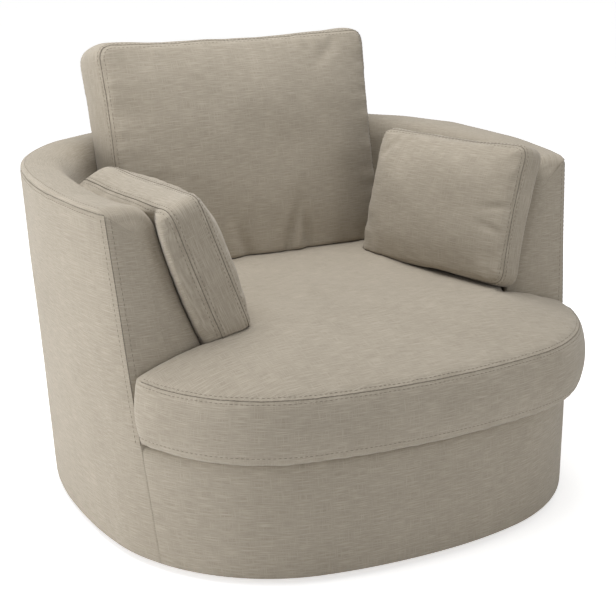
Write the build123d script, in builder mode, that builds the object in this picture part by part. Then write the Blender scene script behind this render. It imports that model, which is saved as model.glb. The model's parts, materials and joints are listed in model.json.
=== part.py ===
"""Round upholstered armchair: a tub that turns on a low swivel base, with four loose cushions.

Millimetres. +Z is up, the chair faces -Y, and the origin is on the floor under the swivel axis.
"""

import os
from math import atan2, cos, degrees, hypot, radians, sin, sqrt

from build123d import *

# Tub plan at the skirt: an oval of tangent arcs
TUB_HALF_WIDTH = 498.0
TUB_FRONT_REACH = 472.0
TUB_BACK_REACH = 473.0
TUB_END_RADIUS = 965.0
TUB_SIDE_RADIUS = 925.0
TUB_CORNER_RADIUS = 360.0

# Tub heights and wall
SKIRT_GAP = 12.0
DECK_TOP = 235.0
RIM_TOP = 646.0
OUTER_FLARE = 0.0406
TUB_LEAN = 0.0698
TUB_FORWARD = 21.5
RIM_WALL = 88.0
WALL_GROWTH = 0.16
ARM_FRONT_AT_DECK = 264.5
ARM_FRONT_LEAN = 0.139

# Upholstery layers
COVER = 2.0
WADDING = 8.0
PANEL = 4.0
INNER_FOAM = 28.0
RIM_FOAM = 20.0
ARM_FRONT_FOAM = 20.0
DECK_CLOTH = 1.5
DECK_PAD = 7.0
RIM_SEAM_DROP = 6.0
HEM = 2.0

# Wooden frame
BOTTOM_BOARD = 18.0
BOTTOM_RAIL_WIDTH = 50.0
SEAT_RING = 22.0
TOP_RAIL = 18.0
RIB = 18.0
RIB_COUNT = 9
STUD_WIDTH = 60.0
STUD_THICK = 30.0
STUD_COUNT = 10
ARM_BOARD = 18.0
CLIP_LEDGE = 24.0
RAIL_SCREW_LENGTH = 60.0

# Seat springs
SPRING_WIRE = 4.0
SPRING_COUNT = 5
SPRING_SPACING = 110.0
SPRING_PITCH = 50.0
SPRING_SWING = 20.0
CLIP_STRAP = 1.5
CLIP_DEPTH = 12.0

# Swivel base
FELT = 4.0
FELT_WIDTH = 90.0
PLINTH_RADIUS = 310.0
PLINTH_BOARD = 18.0
PLATE_RADIUS = 170.0
PLATE = 5.0
PLATE_SPACE = 6.0
BALL_RADIUS = 5.0
BALL_CIRCLE = 140.0
BALL_COUNT = 16
BALL_CLEARANCE = 0.3
CAGE_WIDTH = 24.0
CAGE = 2.0
PLATE_SCREW_CIRCLE = 100.0
PLATE_SCREW_COUNT = 6
PLATE_SCREW_LENGTH = 17.0
SCREW_RADIUS = 2.5
SCREW_HEAD_RADIUS = 5.0
PIN_RADIUS = 8.0
PIN_HEAD_RADIUS = 15.0
PIN_HEAD = 5.0
PIN_CLEARANCE = 0.3
WASHER_RADIUS = 17.0
WASHER = 3.0
NUT_ACROSS_FLATS = 24.0
NUT = 10.0
NUT_ROOM = 6.0

# Seat cushion
SEAT_HALF_WIDTH = 500.0
SEAT_FRONT_REACH = 521.5
SEAT_BACK_REACH = 390.0
SEAT_END_RADIUS = 1300.0
SEAT_SIDE_RADIUS = 1600.0
SEAT_CORNER_RADIUS = 300.0
SEAT_THICK = 125.0
SEAT_CROWN = 58.0
SEAT_DRAW_IN = 10.0
SEAT_CROWN_REACH = 330.0
SEAT_CLEARANCE = 3.0

# Back cushion
BACK_WIDTH = 620.0
BACK_HEIGHT = 440.0
BACK_BORDER = 120.0
BACK_FRONT_CROWN = 80.0
BACK_REAR_CROWN = 75.0
BACK_SAG = 45.0
BACK_CENTRE = (8.0, 308.5, 620.0)
BACK_LEAN = 13.0

# Side cushions
SIDE_LENGTH = 387.0
SIDE_HEIGHT = 280.0
SIDE_BORDER = 45.0
SIDE_INNER_CROWN = 34.0
SIDE_OUTER_CROWN = 80.0
LEFT_CENTRE = (-330.0, -71.5, 524.0)
LEFT_TURN = -4.0
LEFT_LEAN = 19.0
RIGHT_CENTRE = (308.0, -68.0, 539.0)
RIGHT_TURN = 15.0
RIGHT_LEAN = 16.0
SIDE_ROLL = -2.0

# All boxed cushions
CUSHION_CORNER = 45.0
CROWN_STEPS = (0.82, 0.58, 0.3)
CROWN_ROUNDNESS = 2.4
CROWN_FLATNESS = 0.8
CUSHION_DRAW_IN = 9.0
CUSHION_CLEARANCE = 0.4
WALL_CLEARANCE = 1.0

# Levels that follow from the sizes above
PLINTH_BOTTOM = FELT
PLINTH_TOP = PLINTH_BOTTOM + PLINTH_BOARD
LOWER_PLATE_TOP = PLINTH_TOP + PLATE
BALL_LEVEL = LOWER_PLATE_TOP + PLATE_SPACE / 2
UPPER_PLATE_BOTTOM = LOWER_PLATE_TOP + PLATE_SPACE
BOARD_BOTTOM = UPPER_PLATE_BOTTOM + PLATE
BOARD_TOP = BOARD_BOTTOM + BOTTOM_BOARD
HEM_LEVEL = SKIRT_GAP + HEM
CLOTH_BOTTOM = DECK_TOP - DECK_CLOTH
PAD_BOTTOM = CLOTH_BOTTOM - DECK_PAD
RING_TOP = PAD_BOTTOM - CLIP_STRAP - SPRING_WIRE
RING_BOTTOM = RING_TOP - SEAT_RING
RAIL_TOP = RIM_TOP - COVER - RIM_FOAM
RAIL_BOTTOM = RAIL_TOP - TOP_RAIL
SEAT_BOTTOM = DECK_TOP
SEAT_SEAM = SEAT_BOTTOM + SEAT_THICK
FRAME_OUT = COVER + WADDING + PANEL
FRAME_IN = COVER + INNER_FOAM + PANEL
ARM_BOARD_FRONT = COVER + ARM_FRONT_FOAM
ARM_BOARD_BACK = ARM_BOARD_FRONT + ARM_BOARD
FAR = 2 * (TUB_HALF_WIDTH + TUB_FRONT_REACH)
OUTSIDE_ROOM = FAR / 8

TUB_OVAL = (TUB_HALF_WIDTH, TUB_FRONT_REACH, TUB_BACK_REACH,
            TUB_END_RADIUS, TUB_SIDE_RADIUS, TUB_CORNER_RADIUS)
SEAT_OVAL = (SEAT_HALF_WIDTH, SEAT_FRONT_REACH, SEAT_BACK_REACH,
             SEAT_END_RADIUS, SEAT_SIDE_RADIUS, SEAT_CORNER_RADIUS)


def quarter(half_width, reach, end_r, side_r, corner_r):
    """Corner centre and the two tangent directions of one quarter of an oval, as positive numbers."""
    end_y = reach - end_r
    side_x = half_width - side_r
    to_end = end_r - corner_r
    to_side = side_r - corner_r
    span = hypot(side_x, end_y)
    along = (to_end**2 - to_side**2 + span**2) / (2 * span)
    rise = sqrt(to_end**2 - along**2)
    ux, uy = side_x / span, -end_y / span
    cx = ux * along - uy * rise
    cy = end_y + uy * along + ux * rise
    if cx + cy < ux * along + uy * rise + end_y + uy * along - ux * rise:
        cx = ux * along + uy * rise
        cy = end_y + uy * along - ux * rise
    return cx, cy, atan2(cy - end_y, cx), atan2(cy, cx - side_x)


def tub_setback(level):
    """How far behind the swivel axis the middle of the leaning tub lies at one level."""
    return TUB_LEAN * (level - SKIRT_GAP) - TUB_FORWARD


def oval_face(oval, level, grow=0.0, setback=0.0):
    """Face of an oval at one level, grown by an offset and set back from the swivel axis."""
    half_width, front, back, end_r, side_r, corner_r = oval
    marks = {}
    for name, reach in (("front", front), ("back", back)):
        cx, cy, end_turn, side_turn = quarter(half_width, reach, end_r, side_r, corner_r)
        middle = (end_turn + side_turn) / 2
        side_x = half_width - side_r
        marks[name] = [
            (0.0, reach + grow),
            ((end_r + grow) * cos(end_turn), reach - end_r + (end_r + grow) * sin(end_turn)),
            (cx + (corner_r + grow) * cos(middle), cy + (corner_r + grow) * sin(middle)),
            (side_x + (side_r + grow) * cos(side_turn), (side_r + grow) * sin(side_turn)),
        ]
    front_mid, front_end, front_corner, front_side = [(x, setback - y) for x, y in marks["front"]]
    back_mid, back_end, back_corner, back_side = [(x, setback + y) for x, y in marks["back"]]
    widest = (half_width + grow, setback)
    with BuildSketch(Plane.XY.offset(level)) as face:
        with BuildLine():
            ThreePointArc(flip(front_end), front_mid, front_end)
            ThreePointArc(front_end, front_corner, front_side)
            ThreePointArc(front_side, widest, back_side)
            ThreePointArc(back_side, back_corner, back_end)
            ThreePointArc(back_end, back_mid, flip(back_end))
            ThreePointArc(flip(back_end), flip(back_corner), flip(back_side))
            ThreePointArc(flip(back_side), flip(widest), flip(front_side))
            ThreePointArc(flip(front_side), flip(front_corner), flip(front_end))
        make_face()
    return face.sketch


def flip(point):
    """The same point on the other side of the chair."""
    return (-point[0], point[1])


def tub_reach_at(x, grow, reach):
    """Distance of the tub's oval from the middle line, in front or behind, at one x."""
    cx, cy, end_turn, _ = quarter(TUB_HALF_WIDTH, reach, TUB_END_RADIUS, TUB_SIDE_RADIUS,
                                  TUB_CORNER_RADIUS)
    if abs(x) < (TUB_END_RADIUS + grow) * cos(end_turn):
        return reach - TUB_END_RADIUS + sqrt((TUB_END_RADIUS + grow)**2 - x**2)
    return cy + sqrt((TUB_CORNER_RADIUS + grow)**2 - (abs(x) - cx)**2)


def tub_radius_at(turn, grow, setback):
    """Distance of the set-back oval from the axis in one direction over the back half, in degrees."""
    ux, uy = abs(cos(radians(turn))), sin(radians(turn))
    cx, cy, end_turn, side_turn = quarter(TUB_HALF_WIDTH, TUB_BACK_REACH, TUB_END_RADIUS,
                                          TUB_SIDE_RADIUS, TUB_CORNER_RADIUS)
    side_x = TUB_HALF_WIDTH - TUB_SIDE_RADIUS
    end_y = TUB_BACK_REACH - TUB_END_RADIUS
    arcs = [(0.0, end_y + setback, TUB_END_RADIUS + grow),
            (cx, cy + setback, TUB_CORNER_RADIUS + grow),
            (side_x, setback, TUB_SIDE_RADIUS + grow)]
    end_limit = degrees(atan2(arcs[0][1] + arcs[0][2] * sin(end_turn), arcs[0][2] * cos(end_turn)))
    side_limit = degrees(atan2(setback + arcs[2][2] * sin(side_turn), side_x + arcs[2][2] * cos(side_turn)))
    direction = degrees(atan2(uy, ux))
    arc = arcs[0] if direction > end_limit else arcs[2] if direction < side_limit else arcs[1]
    ahead = ux * arc[0] + uy * arc[1]
    return ahead + sqrt(ahead**2 - arc[0]**2 - arc[1]**2 + arc[2]**2)


def outer_at(level, depth=0.0):
    """Offset of the tub's outer surface from its plan at one level, some depth into the wall."""
    return OUTER_FLARE * (level - SKIRT_GAP) - depth


def inner_at(level, depth=0.0):
    """Offset of the tub's inner surface from its plan at one level, some depth into the wall."""
    return outer_at(level) - RIM_WALL - WALL_GROWTH * (RIM_TOP - level) + depth


def tub_block(low, high, offset, depth=0.0):
    """Solid oval between two levels whose side follows one of the tub's surfaces."""
    with BuildPart() as block:
        loft(sections=[oval_face(TUB_OVAL, low, offset(low, depth), tub_setback(low)),
                       oval_face(TUB_OVAL, high, offset(high, depth), tub_setback(high))], ruled=True)
    return block.part


def band(low, high, out_depth, in_offset, in_depth):
    """Ring between two levels, from a depth behind the outer surface to an inner offset."""
    with BuildPart() as ring:
        add(tub_block(low, high, outer_at, out_depth))
        add(tub_block(low, high, in_offset, in_depth), mode=Mode.SUBTRACT)
    return ring.part


def arm_front_at(level, depth=0.0):
    """Y of the leaning arm fronts at one level, some depth behind their face."""
    return -ARM_FRONT_AT_DECK + ARM_FRONT_LEAN * (level - DECK_TOP) + depth


def space_before(depth, low=0.0, high=2 * RIM_TOP):
    """All the space in front of the arm fronts' plane, which lies some depth behind their face."""
    with BuildPart() as space:
        with BuildSketch(Plane.YZ):
            with BuildLine():
                Polyline((-FAR, low), (arm_front_at(low, depth), low),
                         (arm_front_at(high, depth), high), (-FAR, high), close=True)
            make_face()
        extrude(amount=FAR, both=True)
    return space.part


def wall_band(low, high, out_depth, in_offset, in_depth, front_depth):
    """Horseshoe part of a ring, behind the arm fronts."""
    with BuildPart() as wall:
        add(band(low, high, out_depth, in_offset, in_depth))
        add(space_before(front_depth), mode=Mode.SUBTRACT)
    return wall.part


def side_space(sign):
    """All the space on one side of the middle line."""
    with BuildPart() as space:
        with Locations((sign * FAR / 2, 0, RIM_TOP)):
            Box(FAR, FAR, 2 * FAR)
    return space.part


def save(piece, name):
    """Label a finished piece and write its file."""
    piece.part.label = name
    export_step(piece.part, f"parts/{name}.step")


def countersunk_screw(head_level, tip_level):
    """Countersunk screw on the axis, from the flat of its head to its tip."""
    way = 1 if tip_level > head_level else -1
    neck_level = head_level + way * (SCREW_HEAD_RADIUS - SCREW_RADIUS)
    with BuildPart() as screw:
        with BuildSketch(Plane.XZ):
            with BuildLine():
                Polyline((0, head_level), (SCREW_HEAD_RADIUS, head_level), (SCREW_RADIUS, neck_level),
                         (SCREW_RADIUS, tip_level), (0, tip_level), close=True)
            make_face()
        revolve(axis=Axis.Z)
    return screw.part


os.makedirs("parts", exist_ok=True)

# Swivel base

with BuildPart() as lower_plate_screws:
    with PolarLocations(PLATE_SCREW_CIRCLE, PLATE_SCREW_COUNT):
        add(countersunk_screw(LOWER_PLATE_TOP, LOWER_PLATE_TOP - PLATE_SCREW_LENGTH))
save(lower_plate_screws, "lower_plate_screws")

with BuildPart() as floor_felt:
    with BuildSketch(Plane.XY):
        Circle(PLINTH_RADIUS)
        Circle(PLINTH_RADIUS - FELT_WIDTH, mode=Mode.SUBTRACT)
    extrude(amount=FELT)
save(floor_felt, "floor_felt")

with BuildPart() as kingpin:
    with BuildSketch(Plane.XY.offset(PLINTH_BOTTOM)):
        Circle(PIN_HEAD_RADIUS)
    extrude(amount=PIN_HEAD)
    with BuildSketch(Plane.XY.offset(PLINTH_BOTTOM + PIN_HEAD)):
        Circle(PIN_RADIUS)
    extrude(amount=BOARD_BOTTOM + WASHER + NUT - PLINTH_BOTTOM - PIN_HEAD)
save(kingpin, "kingpin")

with BuildPart() as plinth_board:
    with BuildSketch(Plane.XY.offset(PLINTH_BOTTOM)):
        Circle(PLINTH_RADIUS)
    extrude(amount=PLINTH_BOARD)
    add(kingpin.part, mode=Mode.SUBTRACT)
    add(lower_plate_screws.part, mode=Mode.SUBTRACT)
save(plinth_board, "plinth_board")

with BuildPart() as ball_race:
    with BuildSketch(Plane.XZ):
        with Locations((BALL_CIRCLE, BALL_LEVEL)):
            Circle(BALL_RADIUS + BALL_CLEARANCE)
    revolve(axis=Axis.Z)

with BuildPart() as lower_swivel_plate:
    with BuildSketch(Plane.XY.offset(PLINTH_TOP)):
        Circle(PLATE_RADIUS)
    extrude(amount=PLATE)
    add(kingpin.part, mode=Mode.SUBTRACT)
    add(ball_race.part, mode=Mode.SUBTRACT)
    add(lower_plate_screws.part, mode=Mode.SUBTRACT)
save(lower_swivel_plate, "lower_swivel_plate")

with BuildPart() as bearing_balls:
    with Locations((0, 0, BALL_LEVEL)):
        with PolarLocations(BALL_CIRCLE, BALL_COUNT):
            Sphere(BALL_RADIUS)
save(bearing_balls, "bearing_balls")

with BuildPart() as ball_cage:
    with BuildSketch(Plane.XY.offset(BALL_LEVEL - CAGE / 2)):
        Circle(BALL_CIRCLE + CAGE_WIDTH / 2)
        Circle(BALL_CIRCLE - CAGE_WIDTH / 2, mode=Mode.SUBTRACT)
        with PolarLocations(BALL_CIRCLE, BALL_COUNT):
            Circle(BALL_RADIUS + BALL_CLEARANCE, mode=Mode.SUBTRACT)
    extrude(amount=CAGE)
save(ball_cage, "ball_cage")

with BuildPart() as kingpin_washer:
    with BuildSketch(Plane.XY.offset(BOARD_BOTTOM)):
        Circle(WASHER_RADIUS)
        Circle(PIN_RADIUS, mode=Mode.SUBTRACT)
    extrude(amount=WASHER)
save(kingpin_washer, "kingpin_washer")

with BuildPart() as kingpin_nut:
    with BuildSketch(Plane.XY.offset(BOARD_BOTTOM + WASHER)):
        RegularPolygon(NUT_ACROSS_FLATS / 2, 6, major_radius=False)
        Circle(PIN_RADIUS, mode=Mode.SUBTRACT)
    extrude(amount=NUT)
save(kingpin_nut, "kingpin_nut")

# Tub base

with BuildPart() as upper_plate_screws:
    with PolarLocations(PLATE_SCREW_CIRCLE, PLATE_SCREW_COUNT, start_angle=180 / PLATE_SCREW_COUNT):
        add(countersunk_screw(UPPER_PLATE_BOTTOM, UPPER_PLATE_BOTTOM + PLATE_SCREW_LENGTH))
save(upper_plate_screws, "upper_plate_screws")

with BuildPart() as upper_swivel_plate:
    with BuildSketch(Plane.XY.offset(UPPER_PLATE_BOTTOM)):
        Circle(PLATE_RADIUS)
        Circle(PIN_RADIUS + PIN_CLEARANCE, mode=Mode.SUBTRACT)
    extrude(amount=PLATE)
    add(ball_race.part, mode=Mode.SUBTRACT)
    add(upper_plate_screws.part, mode=Mode.SUBTRACT)
save(upper_swivel_plate, "upper_swivel_plate")

with BuildPart() as bottom_board:
    add(tub_block(BOARD_BOTTOM, BOARD_TOP, outer_at, FRAME_OUT))
    with BuildSketch(Plane.XY.offset(BOARD_BOTTOM)):
        Circle(WASHER_RADIUS + NUT_ROOM)
    extrude(amount=BOTTOM_BOARD, mode=Mode.SUBTRACT)
    add(upper_plate_screws.part, mode=Mode.SUBTRACT)
save(bottom_board, "bottom_board")

with BuildPart() as bottom_rail:
    add(band(HEM_LEVEL, BOARD_BOTTOM, FRAME_OUT, outer_at, FRAME_OUT + BOTTOM_RAIL_WIDTH))
save(bottom_rail, "bottom_rail")

with BuildPart() as dust_cover:
    add(tub_block(BOARD_BOTTOM - COVER, BOARD_BOTTOM, outer_at, FRAME_OUT + BOTTOM_RAIL_WIDTH))
    with BuildSketch(Plane.XY.offset(BOARD_BOTTOM - COVER)):
        Circle(PLATE_RADIUS)
    extrude(amount=COVER, mode=Mode.SUBTRACT)
save(dust_cover, "dust_cover")

with BuildPart() as base_panel:
    add(band(HEM_LEVEL, RING_TOP, COVER + WADDING, outer_at, FRAME_OUT))
save(base_panel, "base_panel")

with BuildPart() as base_wadding:
    add(band(HEM_LEVEL, CLOTH_BOTTOM, COVER, outer_at, COVER + WADDING))
save(base_wadding, "base_wadding")

with BuildPart() as stud_slabs:
    with PolarLocations(FAR / 4, STUD_COUNT):
        Box(FAR / 2, STUD_THICK, 2 * RIM_TOP)

with BuildPart() as base_studs:
    add(band(BOARD_TOP, RING_BOTTOM, FRAME_OUT, outer_at, FRAME_OUT + STUD_WIDTH))
    add(stud_slabs.part, mode=Mode.INTERSECT)
save(base_studs, "base_studs")

with BuildPart() as seat_ring:
    add(band(RING_BOTTOM, RING_TOP, FRAME_OUT, inner_at, -CLIP_LEDGE))
save(seat_ring, "seat_ring")

# Tub wall frame

rib_turns = [index * 180 / (RIB_COUNT - 1) for index in range(RIB_COUNT)]
rail_middle = (outer_at(RAIL_TOP, FRAME_OUT) + inner_at(RAIL_TOP, FRAME_IN)) / 2

with BuildPart() as top_rail_screws:
    for turn in rib_turns:
        reach = tub_radius_at(turn, rail_middle, tub_setback(RAIL_TOP))
        with Locations((reach * cos(radians(turn)), reach * sin(radians(turn)), 0)):
            add(countersunk_screw(RAIL_TOP, RAIL_TOP - RAIL_SCREW_LENGTH))
save(top_rail_screws, "top_rail_screws")

with BuildPart() as rib_slabs:
    for turn in rib_turns:
        with Locations(Location((0, 0, 0), (0, 0, turn))):
            with Locations((FAR / 4, 0, RIM_TOP)):
                Box(FAR / 2, RIB, 2 * RIM_TOP)

with BuildPart() as wall_ribs:
    add(band(RING_TOP, RAIL_BOTTOM, FRAME_OUT, inner_at, FRAME_IN))
    add(rib_slabs.part, mode=Mode.INTERSECT)
    add(top_rail_screws.part, mode=Mode.SUBTRACT)
save(wall_ribs, "wall_ribs")

with BuildPart() as top_rail:
    add(wall_band(RAIL_BOTTOM, RAIL_TOP, FRAME_OUT, inner_at, FRAME_IN, ARM_BOARD_FRONT))
    add(top_rail_screws.part, mode=Mode.SUBTRACT)
save(top_rail, "top_rail")

for sign, side in ((-1, "left"), (1, "right")):
    with BuildPart() as arm_front_board:
        add(wall_band(RING_TOP, RAIL_BOTTOM, FRAME_OUT, inner_at, FRAME_IN, ARM_BOARD_FRONT))
        add(space_before(ARM_BOARD_BACK), mode=Mode.INTERSECT)
        add(side_space(sign), mode=Mode.INTERSECT)
    save(arm_front_board, f"{side}_arm_front_board")

    with BuildPart() as arm_front_pad:
        add(wall_band(DECK_TOP, RAIL_TOP, COVER, inner_at, COVER, COVER))
        add(space_before(ARM_BOARD_FRONT), mode=Mode.INTERSECT)
        add(side_space(sign), mode=Mode.INTERSECT)
    save(arm_front_pad, f"{side}_arm_front_pad")

with BuildPart() as outer_panel:
    add(wall_band(RING_TOP, RAIL_TOP, COVER + WADDING, outer_at, FRAME_OUT, ARM_BOARD_FRONT))
save(outer_panel, "outer_panel")

with BuildPart() as inner_panel:
    add(tub_block(RING_TOP, RAIL_TOP, inner_at, FRAME_IN))
    add(tub_block(RING_TOP, RAIL_TOP, inner_at, FRAME_IN - PANEL), mode=Mode.SUBTRACT)
    add(space_before(ARM_BOARD_FRONT), mode=Mode.SUBTRACT)
save(inner_panel, "inner_panel")

# Seat deck

spring_columns = [(index - (SPRING_COUNT - 1) / 2) * SPRING_SPACING for index in range(SPRING_COUNT)]
ring_inside = inner_at(RING_TOP, -CLIP_LEDGE)
ring_back = tub_setback(RING_TOP)
wire_level = RING_TOP + SPRING_WIRE / 2

with BuildPart() as seat_springs:
    for column in spring_columns:
        front_end = ring_back - tub_reach_at(column, ring_inside, TUB_FRONT_REACH) - CLIP_LEDGE + SPRING_WIRE
        back_end = ring_back + tub_reach_at(column, ring_inside, TUB_BACK_REACH) + CLIP_LEDGE - SPRING_WIRE
        bends = 2 * round((back_end - front_end) / (2 * SPRING_PITCH))
        step = (back_end - front_end) / bends
        with BuildLine(Plane.XY.offset(wire_level)) as wire:
            for bend in range(bends):
                start = front_end + bend * step
                swing = SPRING_SWING if bend % 2 else -SPRING_SWING
                ThreePointArc((column, start), (column + swing, start + step / 2), (column, start + step))
        with BuildSketch(Plane(origin=wire.line @ 0, z_dir=wire.line % 0)):
            Circle(SPRING_WIRE / 2)
        sweep(path=wire.line)
save(seat_springs, "seat_springs")

clip_half = SPRING_SWING + SPRING_WIRE
with BuildPart() as spring_clips:
    for column in spring_columns:
        front_seat = ring_back - tub_reach_at(column, ring_inside, TUB_FRONT_REACH) - CLIP_LEDGE / 2
        back_seat = ring_back + tub_reach_at(column, ring_inside, TUB_BACK_REACH) + CLIP_LEDGE / 2
        for seat in (front_seat, back_seat):
            with BuildSketch(Plane.XZ.offset(-seat - CLIP_DEPTH / 2)):
                with Locations((column, RING_TOP)):
                    Rectangle(2 * (clip_half + CLIP_STRAP), SPRING_WIRE + CLIP_STRAP,
                              align=(Align.CENTER, Align.MIN))
                    Rectangle(2 * clip_half, SPRING_WIRE, align=(Align.CENTER, Align.MIN),
                              mode=Mode.SUBTRACT)
            extrude(amount=CLIP_DEPTH)
save(spring_clips, "spring_clips")

with BuildPart() as deck_wall_space:
    add(band(RING_TOP, DECK_TOP, -COVER, inner_at, COVER + INNER_FOAM))
    add(space_before(ARM_BOARD_FRONT), mode=Mode.SUBTRACT)

with BuildPart() as deck_pad:
    add(tub_block(PAD_BOTTOM, CLOTH_BOTTOM, outer_at, COVER + WADDING))
    add(deck_wall_space.part, mode=Mode.SUBTRACT)
save(deck_pad, "deck_pad")

with BuildPart() as deck_cloth:
    add(tub_block(CLOTH_BOTTOM, DECK_TOP, outer_at, COVER))
    add(deck_wall_space.part, mode=Mode.SUBTRACT)
save(deck_cloth, "deck_cloth")

# Tub upholstery

with BuildPart() as outer_wadding:
    add(wall_band(CLOTH_BOTTOM, RAIL_TOP, COVER, outer_at, COVER + WADDING, ARM_BOARD_FRONT))
save(outer_wadding, "outer_wadding")

with BuildPart() as inner_foam:
    add(tub_block(DECK_TOP, RAIL_TOP, inner_at, COVER + INNER_FOAM))
    add(tub_block(DECK_TOP, RAIL_TOP, inner_at, COVER), mode=Mode.SUBTRACT)
    add(space_before(ARM_BOARD_FRONT), mode=Mode.SUBTRACT)
save(inner_foam, "inner_foam")

with BuildPart() as rim_foam:
    add(wall_band(RAIL_TOP, RIM_TOP - COVER, COVER, inner_at, COVER, COVER))
save(rim_foam, "rim_foam")

with BuildPart() as outside_cover:
    add(wall_band(SKIRT_GAP, RIM_TOP - RIM_SEAM_DROP, 0, outer_at, COVER, 0))
save(outside_cover, "outside_cover")

with BuildPart() as inside_cover:
    add(wall_band(DECK_TOP, RIM_TOP, 0, inner_at, 0, 0))
    add(wall_band(DECK_TOP, RIM_TOP - COVER, COVER, inner_at, COVER, COVER), mode=Mode.SUBTRACT)
    add(band(DECK_TOP, RIM_TOP - RIM_SEAM_DROP, -COVER, outer_at, COVER), mode=Mode.SUBTRACT)
save(inside_cover, "inside_cover")

with BuildPart() as front_base_cover:
    add(band(SKIRT_GAP, DECK_TOP, 0, outer_at, COVER))
    add(space_before(0), mode=Mode.INTERSECT)
save(front_base_cover, "front_base_cover")

# Loose cushions


def crown_rise(share):
    """Share of a cushion's crown reached where its outline has shrunk to this share."""
    return (1 - share**CROWN_ROUNDNESS) ** CROWN_FLATNESS


def tub_clearance_space(clearance):
    """The tub's wall and everything outside it, grown by a clearance, up to the rim."""
    with BuildPart() as space:
        add(band(0, RIM_TOP + clearance, -OUTSIDE_ROOM, inner_at, -clearance))
        add(space_before(-clearance), mode=Mode.SUBTRACT)
    return space.part


def seat_form(inset):
    """Crowned seat form, smaller all round by an inset, before the arms are cut out of it."""
    low = SEAT_BOTTOM + CUSHION_CLEARANCE + inset
    seam = SEAT_SEAM - inset
    sections = [oval_face(SEAT_OVAL, low, -inset - SEAT_DRAW_IN),
                oval_face(SEAT_OVAL, (low + seam) / 2, -inset),
                oval_face(SEAT_OVAL, seam, -inset - SEAT_DRAW_IN)]
    for share in CROWN_STEPS:
        level = seam + SEAT_CROWN * crown_rise(share)
        sections.append(oval_face(SEAT_OVAL, level, -inset - SEAT_DRAW_IN - (1 - share) * SEAT_CROWN_REACH))
    with BuildPart() as form:
        loft(sections=sections, ruled=True)
    return form.part


def boxed_outline(plane, half_length, half_height, share, drop):
    """Cushion outline with cut corners and drawn-in sides, shrunk to a share of its size."""
    x, y = half_length, half_height
    corner, draw = CUSHION_CORNER, CUSHION_DRAW_IN
    right_side = [(x - corner, -y), (x, -y + corner), (x - draw, 0), (x, y - corner), (x - corner, y)]
    left_side = [(-px, -py) for px, py in right_side]
    points = right_side + [(0, y - draw)] + left_side + [(0, -y + draw)]
    with BuildSketch(plane) as outline:
        with BuildLine():
            Polyline(*[(px * share, py * share - drop) for px, py in points], close=True)
        make_face()
    return outline.sketch


def boxed_form(plane, length, height, border, front_crown, rear_crown, sag, inset):
    """Boxed cushion: a border between two seams, with a crown before it and one behind it."""
    half_length = length / 2 - inset
    half_height = height / 2 - inset
    half_border = border / 2 - inset / 2
    sections = []
    for share in reversed(CROWN_STEPS):
        level = -half_border - rear_crown * crown_rise(share)
        sections.append(boxed_outline(plane.offset(level), half_length, half_height, share, 0.0))
    for level in (-half_border, half_border):
        sections.append(boxed_outline(plane.offset(level), half_length, half_height, 1.0, 0.0))
    for share in CROWN_STEPS:
        level = half_border + front_crown * crown_rise(share)
        drop = sag * (1 - share)
        sections.append(boxed_outline(plane.offset(level), half_length, half_height, share, drop))
    with BuildPart() as form:
        loft(sections=sections, ruled=True)
    return form.part


def side_plane(sign, centre, turn, lean):
    """Plane in the middle of a side cushion, with its normal towards the sitter."""
    turn, lean, roll = radians(turn), radians(lean), radians(SIDE_ROLL)
    outward = Vector(sign * cos(turn), sin(turn), 0)
    rearward = Vector(-sign * sin(turn), cos(turn), 0)
    upward = Vector(0, 0, 1) * cos(lean) + outward * sin(lean)
    normal = outward * cos(lean) - Vector(0, 0, 1) * sin(lean)
    along = rearward * cos(roll) + upward * sin(roll)
    return Plane(origin=centre, x_dir=along * -sign, z_dir=normal * -1)


def save_cushion(name, outside, inside):
    """Write a cushion as its sewn cover and the filling inside it."""
    with BuildPart() as filling:
        add(inside)
    save(filling, f"{name}_filling")
    with BuildPart() as cover:
        add(outside)
        add(inside, mode=Mode.SUBTRACT)
    save(cover, f"{name}_cover")


def cut(form, *spaces):
    """A form with the spaces that its neighbours take up cut away."""
    with BuildPart() as rest:
        add(form)
        for space in spaces:
            add(space, mode=Mode.SUBTRACT)
    return rest.part


back_plane = Plane(origin=BACK_CENTRE, x_dir=(1, 0, 0),
                   z_dir=(0, -cos(radians(BACK_LEAN)), sin(radians(BACK_LEAN))))
left_plane = side_plane(-1, LEFT_CENTRE, LEFT_TURN, LEFT_LEAN)
right_plane = side_plane(1, RIGHT_CENTRE, RIGHT_TURN, RIGHT_LEAN)
side_sizes = (SIDE_LENGTH, SIDE_HEIGHT, SIDE_BORDER, SIDE_INNER_CROWN, SIDE_OUTER_CROWN, 0.0)
back_sizes = (BACK_WIDTH, BACK_HEIGHT, BACK_BORDER, BACK_FRONT_CROWN, BACK_REAR_CROWN, BACK_SAG)

save_cushion("seat_cushion",
             cut(seat_form(0.0), tub_clearance_space(SEAT_CLEARANCE)),
             cut(seat_form(COVER), tub_clearance_space(SEAT_CLEARANCE + COVER)))

for name, plane, sizes in (("back_cushion", back_plane, back_sizes),
                           ("left_cushion", left_plane, side_sizes),
                           ("right_cushion", right_plane, side_sizes)):
    save_cushion(name,
                 cut(boxed_form(plane, *sizes, 0.0), seat_form(-CUSHION_CLEARANCE),
                     tub_clearance_space(WALL_CLEARANCE)),
                 cut(boxed_form(plane, *sizes, COVER), seat_form(-CUSHION_CLEARANCE - COVER),
                     tub_clearance_space(WALL_CLEARANCE + COVER)))
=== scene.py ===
"""Round armchair: the soft outside of the tub, its loose cushions, their stitching with painted shade along
the seams, and a plain studio.
"""

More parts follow.
